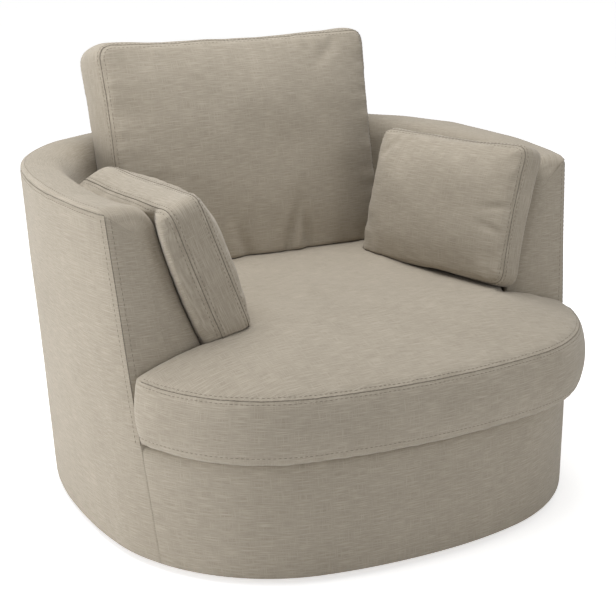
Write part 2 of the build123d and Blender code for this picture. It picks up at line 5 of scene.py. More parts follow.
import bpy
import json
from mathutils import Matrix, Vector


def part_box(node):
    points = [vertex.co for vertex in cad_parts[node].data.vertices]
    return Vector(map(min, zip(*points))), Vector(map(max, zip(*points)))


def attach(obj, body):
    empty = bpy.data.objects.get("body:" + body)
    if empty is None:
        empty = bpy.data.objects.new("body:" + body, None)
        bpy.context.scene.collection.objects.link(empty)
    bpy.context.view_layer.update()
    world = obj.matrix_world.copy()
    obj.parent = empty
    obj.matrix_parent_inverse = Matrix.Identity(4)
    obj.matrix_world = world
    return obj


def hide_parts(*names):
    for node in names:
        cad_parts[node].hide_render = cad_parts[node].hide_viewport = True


bl_info = {
    "name": "Round armchair",
    "version": (1, 0, 0),
    "blender": (4, 5, 0),
    "location": "View3D > Sidebar > Armchair",
    "description": "Dresses the frame of a round swivel armchair in woven upholstery",
    "category": "Object",
}

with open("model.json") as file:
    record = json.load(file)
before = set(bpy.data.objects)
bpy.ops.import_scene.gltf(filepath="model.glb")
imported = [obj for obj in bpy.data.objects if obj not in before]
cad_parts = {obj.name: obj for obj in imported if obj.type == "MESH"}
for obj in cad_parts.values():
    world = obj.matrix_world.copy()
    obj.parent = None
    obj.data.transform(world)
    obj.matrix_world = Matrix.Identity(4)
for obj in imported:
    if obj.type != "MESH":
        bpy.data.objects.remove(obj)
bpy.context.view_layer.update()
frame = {"nodes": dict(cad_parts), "record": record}

import json
import math

import bmesh
import bpy
from bpy.props import FloatProperty, FloatVectorProperty, IntProperty, PointerProperty
from mathutils import Matrix, Vector, noise
from mathutils.bvhtree import BVHTree
from mathutils.kdtree import KDTree

FULL_TURN = 2 * math.pi
UPRIGHT = math.pi / 2


def length_prop(name, description, default):
    """A length in metres."""
    return FloatProperty(name=name, description=description, default=default, unit="LENGTH", precision=4)


def ratio_prop(name, description, default):
    """A plain number."""
    return FloatProperty(name=name, description=description, default=default)


def angle_prop(name, description, degrees):
    """An angle, given in degrees."""
    return FloatProperty(name=name, description=description, default=math.radians(degrees), subtype="ANGLE")


def power_prop(name, description, default):
    """The power of a lamp in watts."""
    return FloatProperty(name=name, description=description, default=default, unit="POWER")


def place_prop(name, description, default):
    """A place in metres."""
    return FloatVectorProperty(name=name, description=description, default=default, subtype="TRANSLATION",
                               unit="LENGTH")


def colour_prop(name, description, default):
    """A linear colour."""
    return FloatVectorProperty(name=name, description=description, default=default, subtype="COLOR", size=3,
                               min=0.0, max=1.0)


class TubSettings(bpy.types.PropertyGroup):
    """Sizes of the tub, the same as its frame has."""

    half_width: length_prop("Half width", "Half the plan's width at the skirt", 0.498)
    front_reach: length_prop("Front reach", "Plan from the axis to the front", 0.472)
    back_reach: length_prop("Back reach", "Plan from the axis to the back", 0.473)
    end_radius: length_prop("End radius", "Radius of the plan's front and back arcs", 0.965)
    side_radius: length_prop("Side radius", "Radius of the plan's side arcs", 0.925)
    corner_radius: length_prop("Corner radius", "Radius of the plan's corner arcs", 0.360)
    skirt: length_prop("Skirt", "Height of the lower edge above the floor", 0.012)
    deck: length_prop("Deck", "Height of the deck under the seat cushion", 0.235)
    rim: length_prop("Rim", "Height of the rim", 0.646)
    flare: ratio_prop("Flare", "Outward lean of the outside, per unit of height", 0.0406)
    lean: ratio_prop("Lean", "Backward lean of the tub, per unit of height", 0.0698)
    forward: length_prop("Forward", "Middle of the skirt ahead of the swivel axis", 0.0215)
    rim_wall: length_prop("Rim wall", "Thickness of the wall at the rim", 0.088)
    wall_growth: ratio_prop("Wall growth", "Wall gained per unit of depth", 0.16)
    arm_front: length_prop("Arm front", "Arm front ahead of the axis at deck level", 0.2645)
    arm_lean: ratio_prop("Arm lean", "Backward lean of the arm fronts", 0.139)
    arm_round: length_prop("Arm rounding", "Rounding of the arm fronts' inner and top edges", 0.024)
    columns: IntProperty(name="Columns", description="Mesh columns round the wall", default=150, min=40)


class SeatSettings(bpy.types.PropertyGroup):
    """Sizes of the seat cushion."""

    half_width: length_prop("Half width", "Half the width of its front", 0.500)
    front_reach: length_prop("Front reach", "From the axis to its front", 0.5215)
    end_radius: length_prop("End radius", "Radius of its front arc", 1.300)
    side_radius: length_prop("Side radius", "Radius of its side arcs", 1.600)
    corner_radius: length_prop("Corner radius", "Radius of its front corners", 0.300)
    thickness: length_prop("Thickness", "From its underside to its top seam", 0.125)
    crown: length_prop("Crown", "Rise of its top above the seam", 0.058)
    crown_reach: length_prop("Crown reach", "Distance from the edge to the flat of the crown", 0.30)
    bulge: length_prop("Bulge", "How far its border swells", 0.012)
    back_reach: length_prop("Back reach", "From the axis to the back of its crown", 0.430)
    clearance: length_prop("Clearance", "Room between it and the tub", 0.003)
    voxel: length_prop("Mesh size", "Size of its mesh", 0.0080)


class BackSettings(bpy.types.PropertyGroup):
    """Sizes and place of the back cushion."""

    width: length_prop("Width", "Width between its side seams", 0.620)
    height: length_prop("Height", "Height between its seams", 0.476)
    border: length_prop("Border", "Width of its border", 0.120)
    crown: length_prop("Front crown", "Swell of its front", 0.080)
    rear_crown: length_prop("Rear crown", "Swell of its rear", 0.075)
    sag: length_prop("Sag", "How far the fullest point lies below the middle", 0.045)
    centre: place_prop("Centre", "Middle of the border", (0.006, 0.3085, 0.616))
    lean: angle_prop("Lean", "Backward lean", 13)
    voxel: length_prop("Mesh size", "Size of its mesh", 0.0062)


class SideSettings(bpy.types.PropertyGroup):
    """Sizes and places of the two side cushions."""

    length: length_prop("Length", "Length between its end seams", 0.387)
    height: length_prop("Height", "Height between its seams", 0.280)
    border: length_prop("Border", "Width of its border", 0.058)
    crown: length_prop("Inner crown", "Swell towards the sitter", 0.050)
    outer_crown: length_prop("Outer crown", "Swell towards the wall", 0.080)
    left_centre: place_prop("Left centre", "Middle of the left cushion", (-0.326, -0.0715, 0.524))
    left_turn: angle_prop("Left turn", "Turn in plan", -4)
    left_lean: angle_prop("Left lean", "Outward lean", 21)
    right_centre: place_prop("Right centre", "Middle of the right cushion", (0.308, -0.068, 0.539))
    right_turn: angle_prop("Right turn", "Turn in plan", 15)
    right_lean: angle_prop("Right lean", "Outward lean", 16)
    roll: angle_prop("Roll", "Tilt along the length", -2)
    voxel: length_prop("Mesh size", "Size of their mesh", 0.0056)


class LinenSettings(bpy.types.PropertyGroup):
    """Colours of the woven cover and its thread."""

    light: colour_prop("Light yarn", "Colour of the lighter yarns", (0.47, 0.417, 0.341))
    dark: colour_prop("Dark yarn", "Colour of the darker yarns", (0.335, 0.294, 0.233))
    # The thread colour also paints the shade in the seam grooves, as dark cords along the seams
    thread: colour_prop("Thread", "Colour of the topstitching", (0.195, 0.169, 0.131))
    yarn: length_prop("Yarn", "Distance between yarns", 0.0017)


class StudioSettings(bpy.types.PropertyGroup):
    """Camera and light."""

    eye: place_prop("Eye", "Place of the camera", (-1.304, -2.4405, 1.228))
    aim: place_prop("Aim", "Point in the middle of the picture", (0.0038, -0.0215, 0.3498))
    lens: ratio_prop("Lens", "Focal length in millimetres", 83.42)
    sky: ratio_prop("Sky", "Strength of the light from all round", 0.365)
    front: power_prop("Front", "Power of the soft lamp in front on the right", 15.5)
    left: power_prop("Left", "Power of the low soft lamp on the left", 41.0)
    top: power_prop("Top", "Power of the soft lamp overhead", 62.0)


# Plan outlines

ARC_ROUNDS = 12
HALVINGS = 40


def heading(turn):
    """Unit vector in plan."""
    return Vector((math.cos(turn), math.sin(turn), 0.0))


class Oval:
    """Oval of tangent arcs, measured by the direction that its edge faces."""

    def __init__(self, half_width, front, back, end_radius, side_radius, corner_radius):
        self.side = (half_width - side_radius, 0.0, side_radius)
        self.quarters = {}
        for key, reach in ((-1, front), (1, back)):
            end_y = reach - end_radius
            to_end = end_radius - corner_radius
            to_side = side_radius - corner_radius
            span = math.hypot(self.side[0], end_y)
            along = (to_end**2 - to_side**2 + span**2) / (2 * span)
            rise = math.sqrt(to_end**2 - along**2)
            ux, uy = self.side[0] / span, -end_y / span
            middles = []
            for way in (1, -1):
                middles.append((ux * along - way * uy * rise, end_y + uy * along + way * ux * rise))
            cx, cy = max(middles, key=sum)
            self.quarters[key] = {
                "end": (0.0, end_y, end_radius),
                "corner": (cx, cy, corner_radius),
                "end_turn": math.atan2(cy - end_y, cx),
                "side_turn": math.atan2(cy, cx - self.side[0]),
            }

    def arc(self, turn):
        """Centre and radius of the arc that faces a direction."""
        flip_x = -1 if math.cos(turn) < 0 else 1
        flip_y = -1 if math.sin(turn) < 0 else 1
        quarter = self.quarters[flip_y]
        steep = math.atan2(abs(math.sin(turn)), abs(math.cos(turn)))
        if steep < quarter["side_turn"]:
            x, y, radius = self.side
        elif steep < quarter["end_turn"]:
            x, y, radius = quarter["corner"]
        else:
            x, y, radius = quarter["end"]
        return flip_x * x, flip_y * y, radius

    def point(self, turn, grow=0.0):
        """Point of the edge, grown by an offset, that faces a direction."""
        x, y, radius = self.arc(turn)
        return Vector((x + (radius + grow) * math.cos(turn), y + (radius + grow) * math.sin(turn), 0.0))

    def offset_of(self, place):
        """How far a place lies outside the edge, and the direction that the edge faces there."""
        turn = math.atan2(place.y, place.x)
        for _ in range(ARC_ROUNDS):
            x, y, _ = self.arc(turn)
            turn = math.atan2(place.y - y, place.x - x)
        x, y, radius = self.arc(turn)
        return math.hypot(place.x - x, place.y - y) - radius, turn

    def turn_at(self, y, grow):
        """Direction on the right of the front half where the grown edge has this y."""
        low, high = -UPRIGHT, 0.0
        for _ in range(HALVINGS):
            middle = (low + high) / 2
            if self.point(middle, grow).y < y:
                low = middle
            else:
                high = middle
        return (low + high) / 2


def tub_oval(tub):
    """Plan of the tub at the skirt."""
    return Oval(tub.half_width, tub.front_reach, tub.back_reach, tub.end_radius, tub.side_radius,
                tub.corner_radius)


def setback(tub, level):
    """Middle of the leaning tub behind the swivel axis."""
    return tub.lean * (level - tub.skirt) - tub.forward


def outer_grow(tub, level):
    """Offset of the tub's outside from its plan."""
    return tub.flare * (level - tub.skirt)


def wall_at(tub, level):
    """Thickness of the tub's wall."""
    return tub.rim_wall + tub.wall_growth * (tub.rim - level)


def arm_front_at(tub, level):
    """Y of the arm fronts."""
    return -tub.arm_front + tub.arm_lean * (level - tub.deck)


def inner_grow(tub, level, room):
    """Offset of the tub's inside from its plan, less some room."""
    return outer_grow(tub, level) - wall_at(tub, level) - room


def arm_turn(tub, oval, level, grow, behind=0.0):
    """Direction on the oval where the grown edge meets the right arm's front, or a line behind it."""
    return oval.turn_at(arm_front_at(tub, level) + behind - setback(tub, level), grow)


def tub_point(tub, oval, turn, level, grow):
    """Point of the leaning tub at a level."""
    spot = oval.point(turn, grow)
    spot.y += setback(tub, level)
    spot.z = level
    return spot


def even_turns(start, span, steps):
    """Evenly spaced directions, both ends included."""
    return [start + step / steps * span for step in range(steps + 1)]


def rear_turns(first, steps):
    """Directions round the back, from the right arm's front to the left one's."""
    return even_turns(first, math.pi - 2 * first, steps)


def share_of(part, whole):
    """Part of a length as a share from 0 to 1."""
    return min(max(part / whole, 0.0), 1.0)


# Meshes

GRID_DIGITS = 5
MERGE_DISTANCE = 0.00002
SEED_SPREAD = (1.0, 1.7, 2.3)


def woven_grid(columns, rows, place, mark_row):
    """A bmesh grid placed by column and row, with a UV map in metres along its columns and rows."""
    bm = bmesh.new()
    bmesh.ops.create_grid(bm, x_segments=columns - 1, y_segments=rows - 1, size=1.0)
    orders = []
    for axis in (0, 1):
        keys = sorted({round(vert.co[axis], GRID_DIGITS) for vert in bm.verts})
        orders.append({key: index for index, key in enumerate(keys)})
    spots = {}
    for vert in bm.verts:
        spots[vert] = tuple(order[round(vert.co[axis], GRID_DIGITS)] for axis, order in enumerate(orders))
    by_spot = {}
    for vert, spot in spots.items():
        vert.co = place(*spot)
        by_spot[spot] = vert.co.copy()
    column_marks = running_length([by_spot[(column, mark_row)] for column in range(columns)])
    row_marks = running_length([by_spot[(columns // 2, row)] for row in range(rows)])
    layer = bm.loops.layers.uv.new("weave")
    for face in bm.faces:
        for loop in face.loops:
            column, row = spots[loop.vert]
            loop[layer].uv = (column_marks[column], row_marks[row])
    bmesh.ops.remove_doubles(bm, verts=bm.verts, dist=MERGE_DISTANCE)
    return bm


def running_length(points):
    """Length along a list of points up to each of them."""
    marks = [0.0]
    for start, end in zip(points, points[1:]):
        marks.append(marks[-1] + (end - start).length)
    return marks


def walk(points, marks, goals):
    """Points at rising lengths along a line, each with the number of the stretch that it lies on."""
    index = 0
    for goal in goals:
        while marks[index + 1] < goal:
            index += 1
        share = (goal - marks[index]) / (marks[index + 1] - marks[index])
        yield points[index].lerp(points[index + 1], share), index


def finish_piece(name, bm, material, smooth_levels):
    """Turn a bmesh into a smooth piece in the scene."""
    bmesh.ops.recalc_face_normals(bm, faces=bm.faces)
    for face in bm.faces:
        face.smooth = True
    mesh = bpy.data.meshes.new(name)
    bm.to_mesh(mesh)
    bm.free()
    mesh.materials.append(material)
    piece = bpy.data.objects.new(name, mesh)
    bpy.context.collection.objects.link(piece)
    if smooth_levels:
        smooth(piece, smooth_levels)
    return piece


def smooth(piece, levels):
    """Finish a piece with a subdivision surface."""
    subdivision = piece.modifiers.new("smooth", "SUBSURF")
    subdivision.levels = levels
    subdivision.render_levels = levels


def lift_slab(bm, outline, low, high):
    """Slab of an outline between two levels: the points and the face of its top."""
    face = bm.faces.new([bm.verts.new((point.x, point.y, low)) for point in outline])
    lifted = bmesh.ops.extrude_face_region(bm, geom=[face])["geom"]
    tops = [item for item in lifted if isinstance(item, bmesh.types.BMVert)]
    bmesh.ops.translate(bm, verts=tops, vec=(0.0, 0.0, high - low))
    return tops, [item for item in lifted if isinstance(item, bmesh.types.BMFace)]


def waver(place, scale, height, seed):
    """Small slow unevenness of stretched cloth."""
    return noise.noise(place * scale + Vector([seed * share for share in SEED_SPREAD])) * height


# Materials

MIX_SHARE, MIX_DARK, MIX_LIGHT, MIX_RESULT = 0, 6, 7, 2
WHITE = (1.0, 1.0, 1.0, 1.0)
NOISE_ROUGHNESS = 0.6
LINEN_ROUGHNESS = 0.92
LINEN_FINISH = {"Sheen Weight": 0.18, "Sheen Roughness": 0.45, "Specular IOR Level": 0.2}
LINEN_BUMP = {"strength": 0.35, "distance": 0.0009}
SLUB_FINE = 1.15
SLUB_DETAIL = 2.0
WARP_LONG = 0.06
WEFT_LONG = 0.05
WARP_SHARE = 0.88
SLUB_SHARE = 0.85
CLOUD_SHARE = 0.15
CLOUD_SCALE = (9.0, 9.0, 1.0)
CLOUD_DETAIL = 3.0
SHADE_RANGE = {"From Min": 0.40, "From Max": 0.66}
RIB_SHARE = 0.25
THREAD_ROUGHNESS = 0.7
THREAD_SCALE = (900.0, 900.0, 900.0)
THREAD_DETAIL = 1.0
THREAD_SHADES = (0.8, 1.2)
GRAIN_DETAIL = 4.0
GRAIN_BUMP = 0.4


class Graph:
    """Node tree of a material or a world, built from nothing."""

    def __init__(self, owner):
        owner.use_nodes = True
        self.nodes, self.links = owner.node_tree.nodes, owner.node_tree.links
        self.nodes.clear()

    def feed(self, socket, value):
        """Link an output to an input, or set the input to a plain value."""
        if isinstance(value, bpy.types.NodeSocket):
            self.links.new(value, socket)
        else:
            socket.default_value = value

    def add(self, kind, **values):
        """A node with some of its inputs or properties set."""
        node = self.nodes.new(f"ShaderNode{kind}")
        for key, value in values.items():
            if key in node.inputs:
                self.feed(node.inputs[key], value)
            else:
                setattr(node, key, value)
        return node

    def math(self, operation, *values):
        """Result of a math node on outputs or numbers."""
        node = self.add("Math", operation=operation)
        for socket, value in zip(node.inputs, values):
            self.feed(socket, value)
        return node.outputs[0]

    def noise(self, place, scale, detail):
        """Noise on a stretched copy of the coordinates."""
        mapping = self.add("Mapping", Vector=place, Scale=scale)
        texture = self.add("TexNoise", Vector=mapping.outputs["Vector"], Scale=1.0, Detail=detail,
                           Roughness=NOISE_ROUGHNESS)
        return texture.outputs["Fac"]

    def object_noise(self, scale, detail):
        """Noise on the object's own coordinates."""
        return self.noise(self.add("TexCoord").outputs["Object"], scale, detail)

    def seen_or_mirrored(self):
        """1 for rays that come from the camera, a mirror or glass."""
        path = self.add("LightPath")
        seen = self.math("MAXIMUM", path.outputs["Is Camera Ray"], path.outputs["Is Glossy Ray"])
        return self.math("MAXIMUM", seen, path.outputs["Is Transmission Ray"])


class Surface(Graph):
    """A material with one shader."""

    def __init__(self, name, roughness, metallic=0.0):
        self.material = bpy.data.materials.new(name)
        super().__init__(self.material)
        self.shader = self.add("BsdfPrincipled", Roughness=roughness, Metallic=metallic)
        self.add("OutputMaterial", Surface=self.shader.outputs["BSDF"])

    def set(self, key, value):
        """Feed one of the shader's inputs."""
        self.feed(self.shader.inputs[key], value)

    def paint(self, share, dark, light):
        """Colour the surface by a share between two shades."""
        mix = self.add("Mix", data_type="RGBA")
        for index, value in ((MIX_SHARE, share), (MIX_DARK, (*dark, 1.0)), (MIX_LIGHT, (*light, 1.0))):
            self.feed(mix.inputs[index], value)
        self.set("Base Color", mix.outputs[MIX_RESULT])

    def bump(self, height, strength, distance):
        """Give the surface a fine relief."""
        node = self.add("Bump", Height=height, Strength=strength, Distance=distance)
        self.set("Normal", node.outputs["Normal"])


def linen_material(linen):
    """Woven linen-look cloth: slubby warp and weft with small shade differences."""
    cloth = Surface("linen_weave", LINEN_ROUGHNESS)
    for key, value in LINEN_FINISH.items():
        cloth.set(key, value)
    weave = cloth.add("UVMap", uv_map="weave").outputs["UV"]
    per_metre = 1.0 / linen.yarn
    warp = cloth.noise(weave, (per_metre * SLUB_FINE, per_metre * WARP_LONG, 1.0), SLUB_DETAIL)
    weft = cloth.noise(weave, (per_metre * WEFT_LONG, per_metre * SLUB_FINE, 1.0), SLUB_DETAIL)
    slub = cloth.math("MAXIMUM", cloth.math("MULTIPLY", warp, WARP_SHARE), weft)
    cloud = cloth.noise(weave, CLOUD_SCALE, CLOUD_DETAIL)
    clouded = cloth.math("MULTIPLY", cloud, CLOUD_SHARE)
    blend = cloth.math("ADD", cloth.math("MULTIPLY", slub, SLUB_SHARE), clouded)
    ramp = cloth.add("MapRange", Value=blend, **SHADE_RANGE)
    cloth.paint(ramp.outputs["Result"], linen.dark, linen.light)
    split = cloth.add("SeparateXYZ", Vector=weave)
    ribs = []
    for axis in (0, 1):
        phase = cloth.math("MULTIPLY", split.outputs[axis], FULL_TURN * per_metre)
        ribs.append(cloth.math("SINE", phase))
    rib = cloth.math("MULTIPLY", cloth.math("MULTIPLY", *ribs), RIB_SHARE)
    cloth.bump(cloth.math("ADD", rib, slub), **LINEN_BUMP)
    return cloth.material


def thread_and_seam_shade_material(linen):
    """Twisted sewing thread, also used for the dark cords of painted shade along the seams."""
    thread = Surface("topstitch_thread", THREAD_ROUGHNESS)
    dark, light = ([min(1.0, value * shade) for value in linen.thread] for shade in THREAD_SHADES)
    thread.paint(thread.object_noise(THREAD_SCALE, THREAD_DETAIL), dark, light)
    return thread.material


def grained_material(name, light, dark, stretch, roughness, metallic, bump_depth):
    """Material of a hidden frame piece: a stretched grain between two shades."""
    surface = Surface(name, roughness, metallic)
    grain = surface.object_noise(stretch, GRAIN_DETAIL)
    surface.paint(grain, dark, light)
    surface.bump(grain, GRAIN_BUMP, bump_depth)
    return surface.material


def shared_material(name, make, *values):
    """A material that is made once and then reused."""
    return bpy.data.materials.get(name) or make(*values)


def linen_of(context):
    """The woven cover's material."""
    return shared_material("linen_weave", linen_material, context.scene.chair_linen)


def hidden_finish(finish):
    """Material of a finish inside the chair."""
    name = f"{finish}_finish"
    return shared_material(name, grained_material, name, *HIDDEN_FINISHES[finish])


# Finishes inside the chair: light and dark shade, stretch of the grain, roughness, metal, relief
HIDDEN_FINISHES = {
    "plywood": ((0.62, 0.46, 0.29), (0.42, 0.28, 0.15), (6.0, 90.0, 90.0), 0.6, 0.0, 0.0004),
    "fibreboard": ((0.24, 0.15, 0.08), (0.15, 0.09, 0.05), (160.0, 160.0, 160.0), 0.75, 0.0, 0.0003),
    "steel": ((0.62, 0.62, 0.63), (0.48, 0.48, 0.49), (30.0, 240.0, 240.0), 0.35, 1.0, 0.0001),
    "foam": ((0.75, 0.70, 0.55), (0.62, 0.57, 0.42), (420.0, 420.0, 420.0), 0.95, 0.0, 0.0008),
    "felt": ((0.11, 0.105, 0.10), (0.06, 0.058, 0.055), (300.0, 300.0, 60.0), 0.97, 0.0, 0.0008),
    "lining_cloth": ((0.03, 0.03, 0.03), (0.015, 0.015, 0.015), (500.0, 500.0, 500.0), 0.9, 0.0, 0.0003),
    "cage_plastic": ((0.74, 0.73, 0.70), (0.66, 0.65, 0.62), (80.0, 80.0, 80.0), 0.45, 0.0, 0.0001),
}


# Tub

SKIRT_THICKNESS = 0.006
HEM = 0.002
HEM_HEIGHT = 0.004
SEAM_BELOW_RIM = 0.006
SKIRT_ROWS = 5
WALL_ROWS = 11
WALL_FOOT = 0.012
WALL_HEAD = 0.055
LIP_ABOVE_DECK = 0.002
INSIDE_SEAM_DROP = 0.022
# Rim, from the outer seam over its top: depth or, on its inner half, what is left of the wall; rise; facing
RIM_OUTER_HALF = ((0.0, -0.016, (-1, 0)), (0.0003, -0.004, (-1, 0)), (0.0034, 0.0, (-1, 0)),
                  (0.0006, 0.004, (-1, 0.3)), (0.006, 0.0085, (-0.5, 0.9)), (0.018, 0.0105, (0, 1)),
                  (0.036, 0.0112, (0, 1)))
RIM_INNER_HALF = ((0.030, 0.0095, (0, 1)), (0.014, 0.0045, (0.5, 0.87)), (0.0045, -0.006, (0.87, 0.5)))
ARM_FACE_STEPS = (0.0, 0.45, 0.85)
ARM_EDGE_STEPS = (0.0, 0.06, 0.2, 0.45, 0.75, 1.0)
ARM_PUFF = 0.006
OUTER_EDGE_SHARE = 0.18
LOW_ROUND_SHARE = 0.2
ROUND_START = 0.13
ROUND_RISE = 0.12
# Unevenness of the cloth: scale, height and seed
WALL_WAVES = ((5.0, 0.0022, 3.0), (14.0, 0.0009, 8.0))
BASE_WAVE = (6.0, 0.0018, 21.0)
RIM_WAVE_SHARE = 1.3
WALL_MARK_ROW = 12
BASE_MARK_ROW = 4


def tub_section(tub):
    """Closed section of the wall: depth, level, facing in the section, and where it meets at an arm's end."""
    hem = tub.skirt + HEM_HEIGHT
    skirt_rise = tub.deck - tub.skirt - WALL_FOOT
    wall_rise = tub.rim - tub.deck - WALL_HEAD
    skirt_levels = [tub.skirt, hem]
    skirt_levels += [hem + step * skirt_rise / SKIRT_ROWS for step in range(1, SKIRT_ROWS + 1)]
    wall_levels = [tub.deck + WALL_FOOT + step * wall_rise / WALL_ROWS for step in range(WALL_ROWS + 1)]
    skirt_meet = [(SKIRT_THICKNESS / 2, level) for level in skirt_levels]
    wall_meet = [(wall_at(tub, level) / 2, level) for level in wall_levels]
    seam = tub.rim - SEAM_BELOW_RIM
    inside_seam = seam - INSIDE_SEAM_DROP
    lip = tub.deck + LIP_ABOVE_DECK
    outside, inside = (-1, 0), (1, 0)
    section = []
    for index, level in enumerate(skirt_levels):
        section.append((0.0 if index else HEM, level, outside, skirt_meet[index]))
    for level, meet in zip(wall_levels, wall_meet):
        section.append((0.0, level, outside, meet))
    for depth, rise, facing in RIM_OUTER_HALF:
        section.append((depth, seam + rise, facing, wall_meet[-1]))
    for left, rise, facing in RIM_INNER_HALF:
        section.append((tub.rim_wall - left, seam + rise, facing, wall_meet[-1]))
    section.append((wall_at(tub, inside_seam), inside_seam, inside, wall_meet[-1]))
    for level, meet in zip(reversed(wall_levels), reversed(wall_meet)):
        section.append((wall_at(tub, level), level, inside, meet))
    section.append((wall_at(tub, lip), lip, inside, wall_meet[0]))
    section.append((SKIRT_THICKNESS, lip, (0.2, 0), skirt_meet[-1]))
    for index, level in reversed(list(enumerate(skirt_levels))):
        depth = SKIRT_THICKNESS if index else SKIRT_THICKNESS - HEM
        section.append((depth, level, (0, 0), skirt_meet[index]))
    section.append(section[0])
    return section


def arm_round_at(tub, level):
    """Rounding of the arm fronts' edges: small beside the seat cushion, full above it."""
    share = share_of(level - tub.deck - ROUND_START, ROUND_RISE)
    return tub.arm_round * (LOW_ROUND_SHARE + (1 - LOW_ROUND_SHARE) * share)


def tub_wall(tub):
    """The horseshoe wall, from the floor outside to the deck inside, with puffed arm fronts."""
    oval = tub_oval(tub)
    section = tub_section(tub)
    ends = [("face", share) for share in ARM_FACE_STEPS] + [("edge", share) for share in ARM_EDGE_STEPS]
    total = tub.columns + 2 * len(ends)

    def arm_end(index, row):
        """Point of the right arm's end: on its face, or on the rounding that leads to the wall."""
        depth, level, facing, meet = section[row]
        kind, share = ends[index]
        radius = arm_round_at(tub, level)
        behind = share * radius if kind == "edge" else 0.0
        inset = radius - math.sqrt(max(radius**2 - (radius - behind)**2, 0.0))
        depth = depth - inset * max(facing[0], 0.0) - inset * OUTER_EDGE_SHARE * min(facing[0], 0.0)
        level = level - inset * max(facing[1], 0.0)
        if kind == "face":
            depth = meet[0] + (depth - meet[0]) * share
            level = meet[1] + (level - meet[1]) * share
            behind = -ARM_PUFF * (1 - share**3) if level > tub.deck else 0.0
        grow = outer_grow(tub, level) - depth
        return tub_point(tub, oval, arm_turn(tub, oval, level, grow, behind), level, grow)

    def place(column, row):
        index = min(column, total - 1 - column)
        rises = section[row][2][1] > 0
        if index < len(ends):
            spot = arm_end(index, row)
            spot.x *= 1 if column < total / 2 else -1
        else:
            depth, level = section[row][:2]
            grow = outer_grow(tub, level) - depth
            first = arm_turn(tub, oval, level, grow, arm_round_at(tub, level))
            turn = first + (column - len(ends) + 1) / (tub.columns + 1) * (math.pi - 2 * first)
            spot = tub_point(tub, oval, turn, level, grow)
        swell = sum(waver(spot, *wave) for wave in WALL_WAVES)
        if rises:
            spot.z += swell * RIM_WAVE_SHARE
        elif index >= len(ends):
            spot += heading(turn) * swell
        return spot

    return woven_grid(total, len(section), place, WALL_MARK_ROW)


# Top of the base's front, from its face over the fold to the end of the lap: depth and drop
BASE_FOLD = ((0.0025, 0.006), (0.009, 0.0012), (0.022, 0.0), (0.055, 0.0), (0.060, 0.002), (0.055, 0.005),
             (0.016, 0.008))
BASE_TOP_GAP = 0.0005
BASE_ARM_GAP = -0.0006
BASE_HEAD = 0.020
BASE_ROWS = 7
BASE_END_STEPS = (0.0, 0.0006, 0.0022)
BASE_END = 0.008


def base_front_section(tub):
    """Closed section of the cloth over the base's front: depth and level."""
    top = tub.deck - BASE_TOP_GAP
    rise = tub.deck - tub.skirt - BASE_HEAD
    levels = [tub.skirt + HEM_HEIGHT + step * rise / BASE_ROWS for step in range(BASE_ROWS + 1)]
    section = [(HEM, tub.skirt)]
    section += [(0.0, level) for level in levels]
    section += [(depth, top - drop) for depth, drop in BASE_FOLD]
    section += [(SKIRT_THICKNESS, level) for level in reversed(levels)]
    section += [(SKIRT_THICKNESS - HEM, tub.skirt), section[0]]
    return section


def base_shares(total):
    """Columns of the base's front as shares of its length, close together at both ends."""
    steps = total - 2 * len(BASE_END_STEPS)
    inner = [BASE_END + step * (1 - 2 * BASE_END) / (steps - 1) for step in range(steps)]
    return [*BASE_END_STEPS, *inner, *(1 - share for share in reversed(BASE_END_STEPS))]


def base_front(tub):
    """The cloth over the base in front, from arm to arm."""
    oval = tub_oval(tub)
    section = base_front_section(tub)
    shares = base_shares(tub.columns // 2)

    def place(column, row):
        depth, level = section[row]
        grow = outer_grow(tub, level) - depth
        first = arm_turn(tub, oval, level, grow, BASE_ARM_GAP)
        turn = first + shares[column] * (-math.pi - 2 * first)
        spot = tub_point(tub, oval, turn, level, grow)
        return spot + heading(turn) * waver(spot, *BASE_WAVE)

    bm = woven_grid(len(shares), len(section), place, BASE_MARK_ROW)
    bmesh.ops.holes_fill(bm, edges=[edge for edge in bm.edges if edge.is_boundary], sides=0)
    return bm


# Cushions

SIM_FRAMES = 18
CLOTH = {"quality": 5, "mass": 0.3, "tension_stiffness": 8.0, "compression_stiffness": 8.0,
         "shear_stiffness": 3.0, "bending_stiffness": 2.0, "use_pressure": True, "vertex_group_mass": "seams"}
# Creases: middle, direction, half length, half width and depth
BACK_CREASES = (((0.055, -0.185), UPRIGHT - 0.28, 0.060, 0.011, 0.012),
                ((0.092, -0.195), UPRIGHT + 0.10, 0.055, 0.010, 0.013),
                ((-0.06, -0.20), UPRIGHT + 0.35, 0.045, 0.011, 0.008),
                ((0.20, 0.19), 0.6, 0.050, 0.013, 0.004),
                ((-0.24, -0.05), 0.1, 0.045, 0.012, 0.003))
SIDE_CREASES = (((0.165, 0.012), 0.15, 0.032, 0.008, 0.006),
                ((0.155, -0.030), -0.2, 0.030, 0.008, 0.004),
                ((-0.14, 0.10), 0.8, 0.040, 0.010, 0.004))
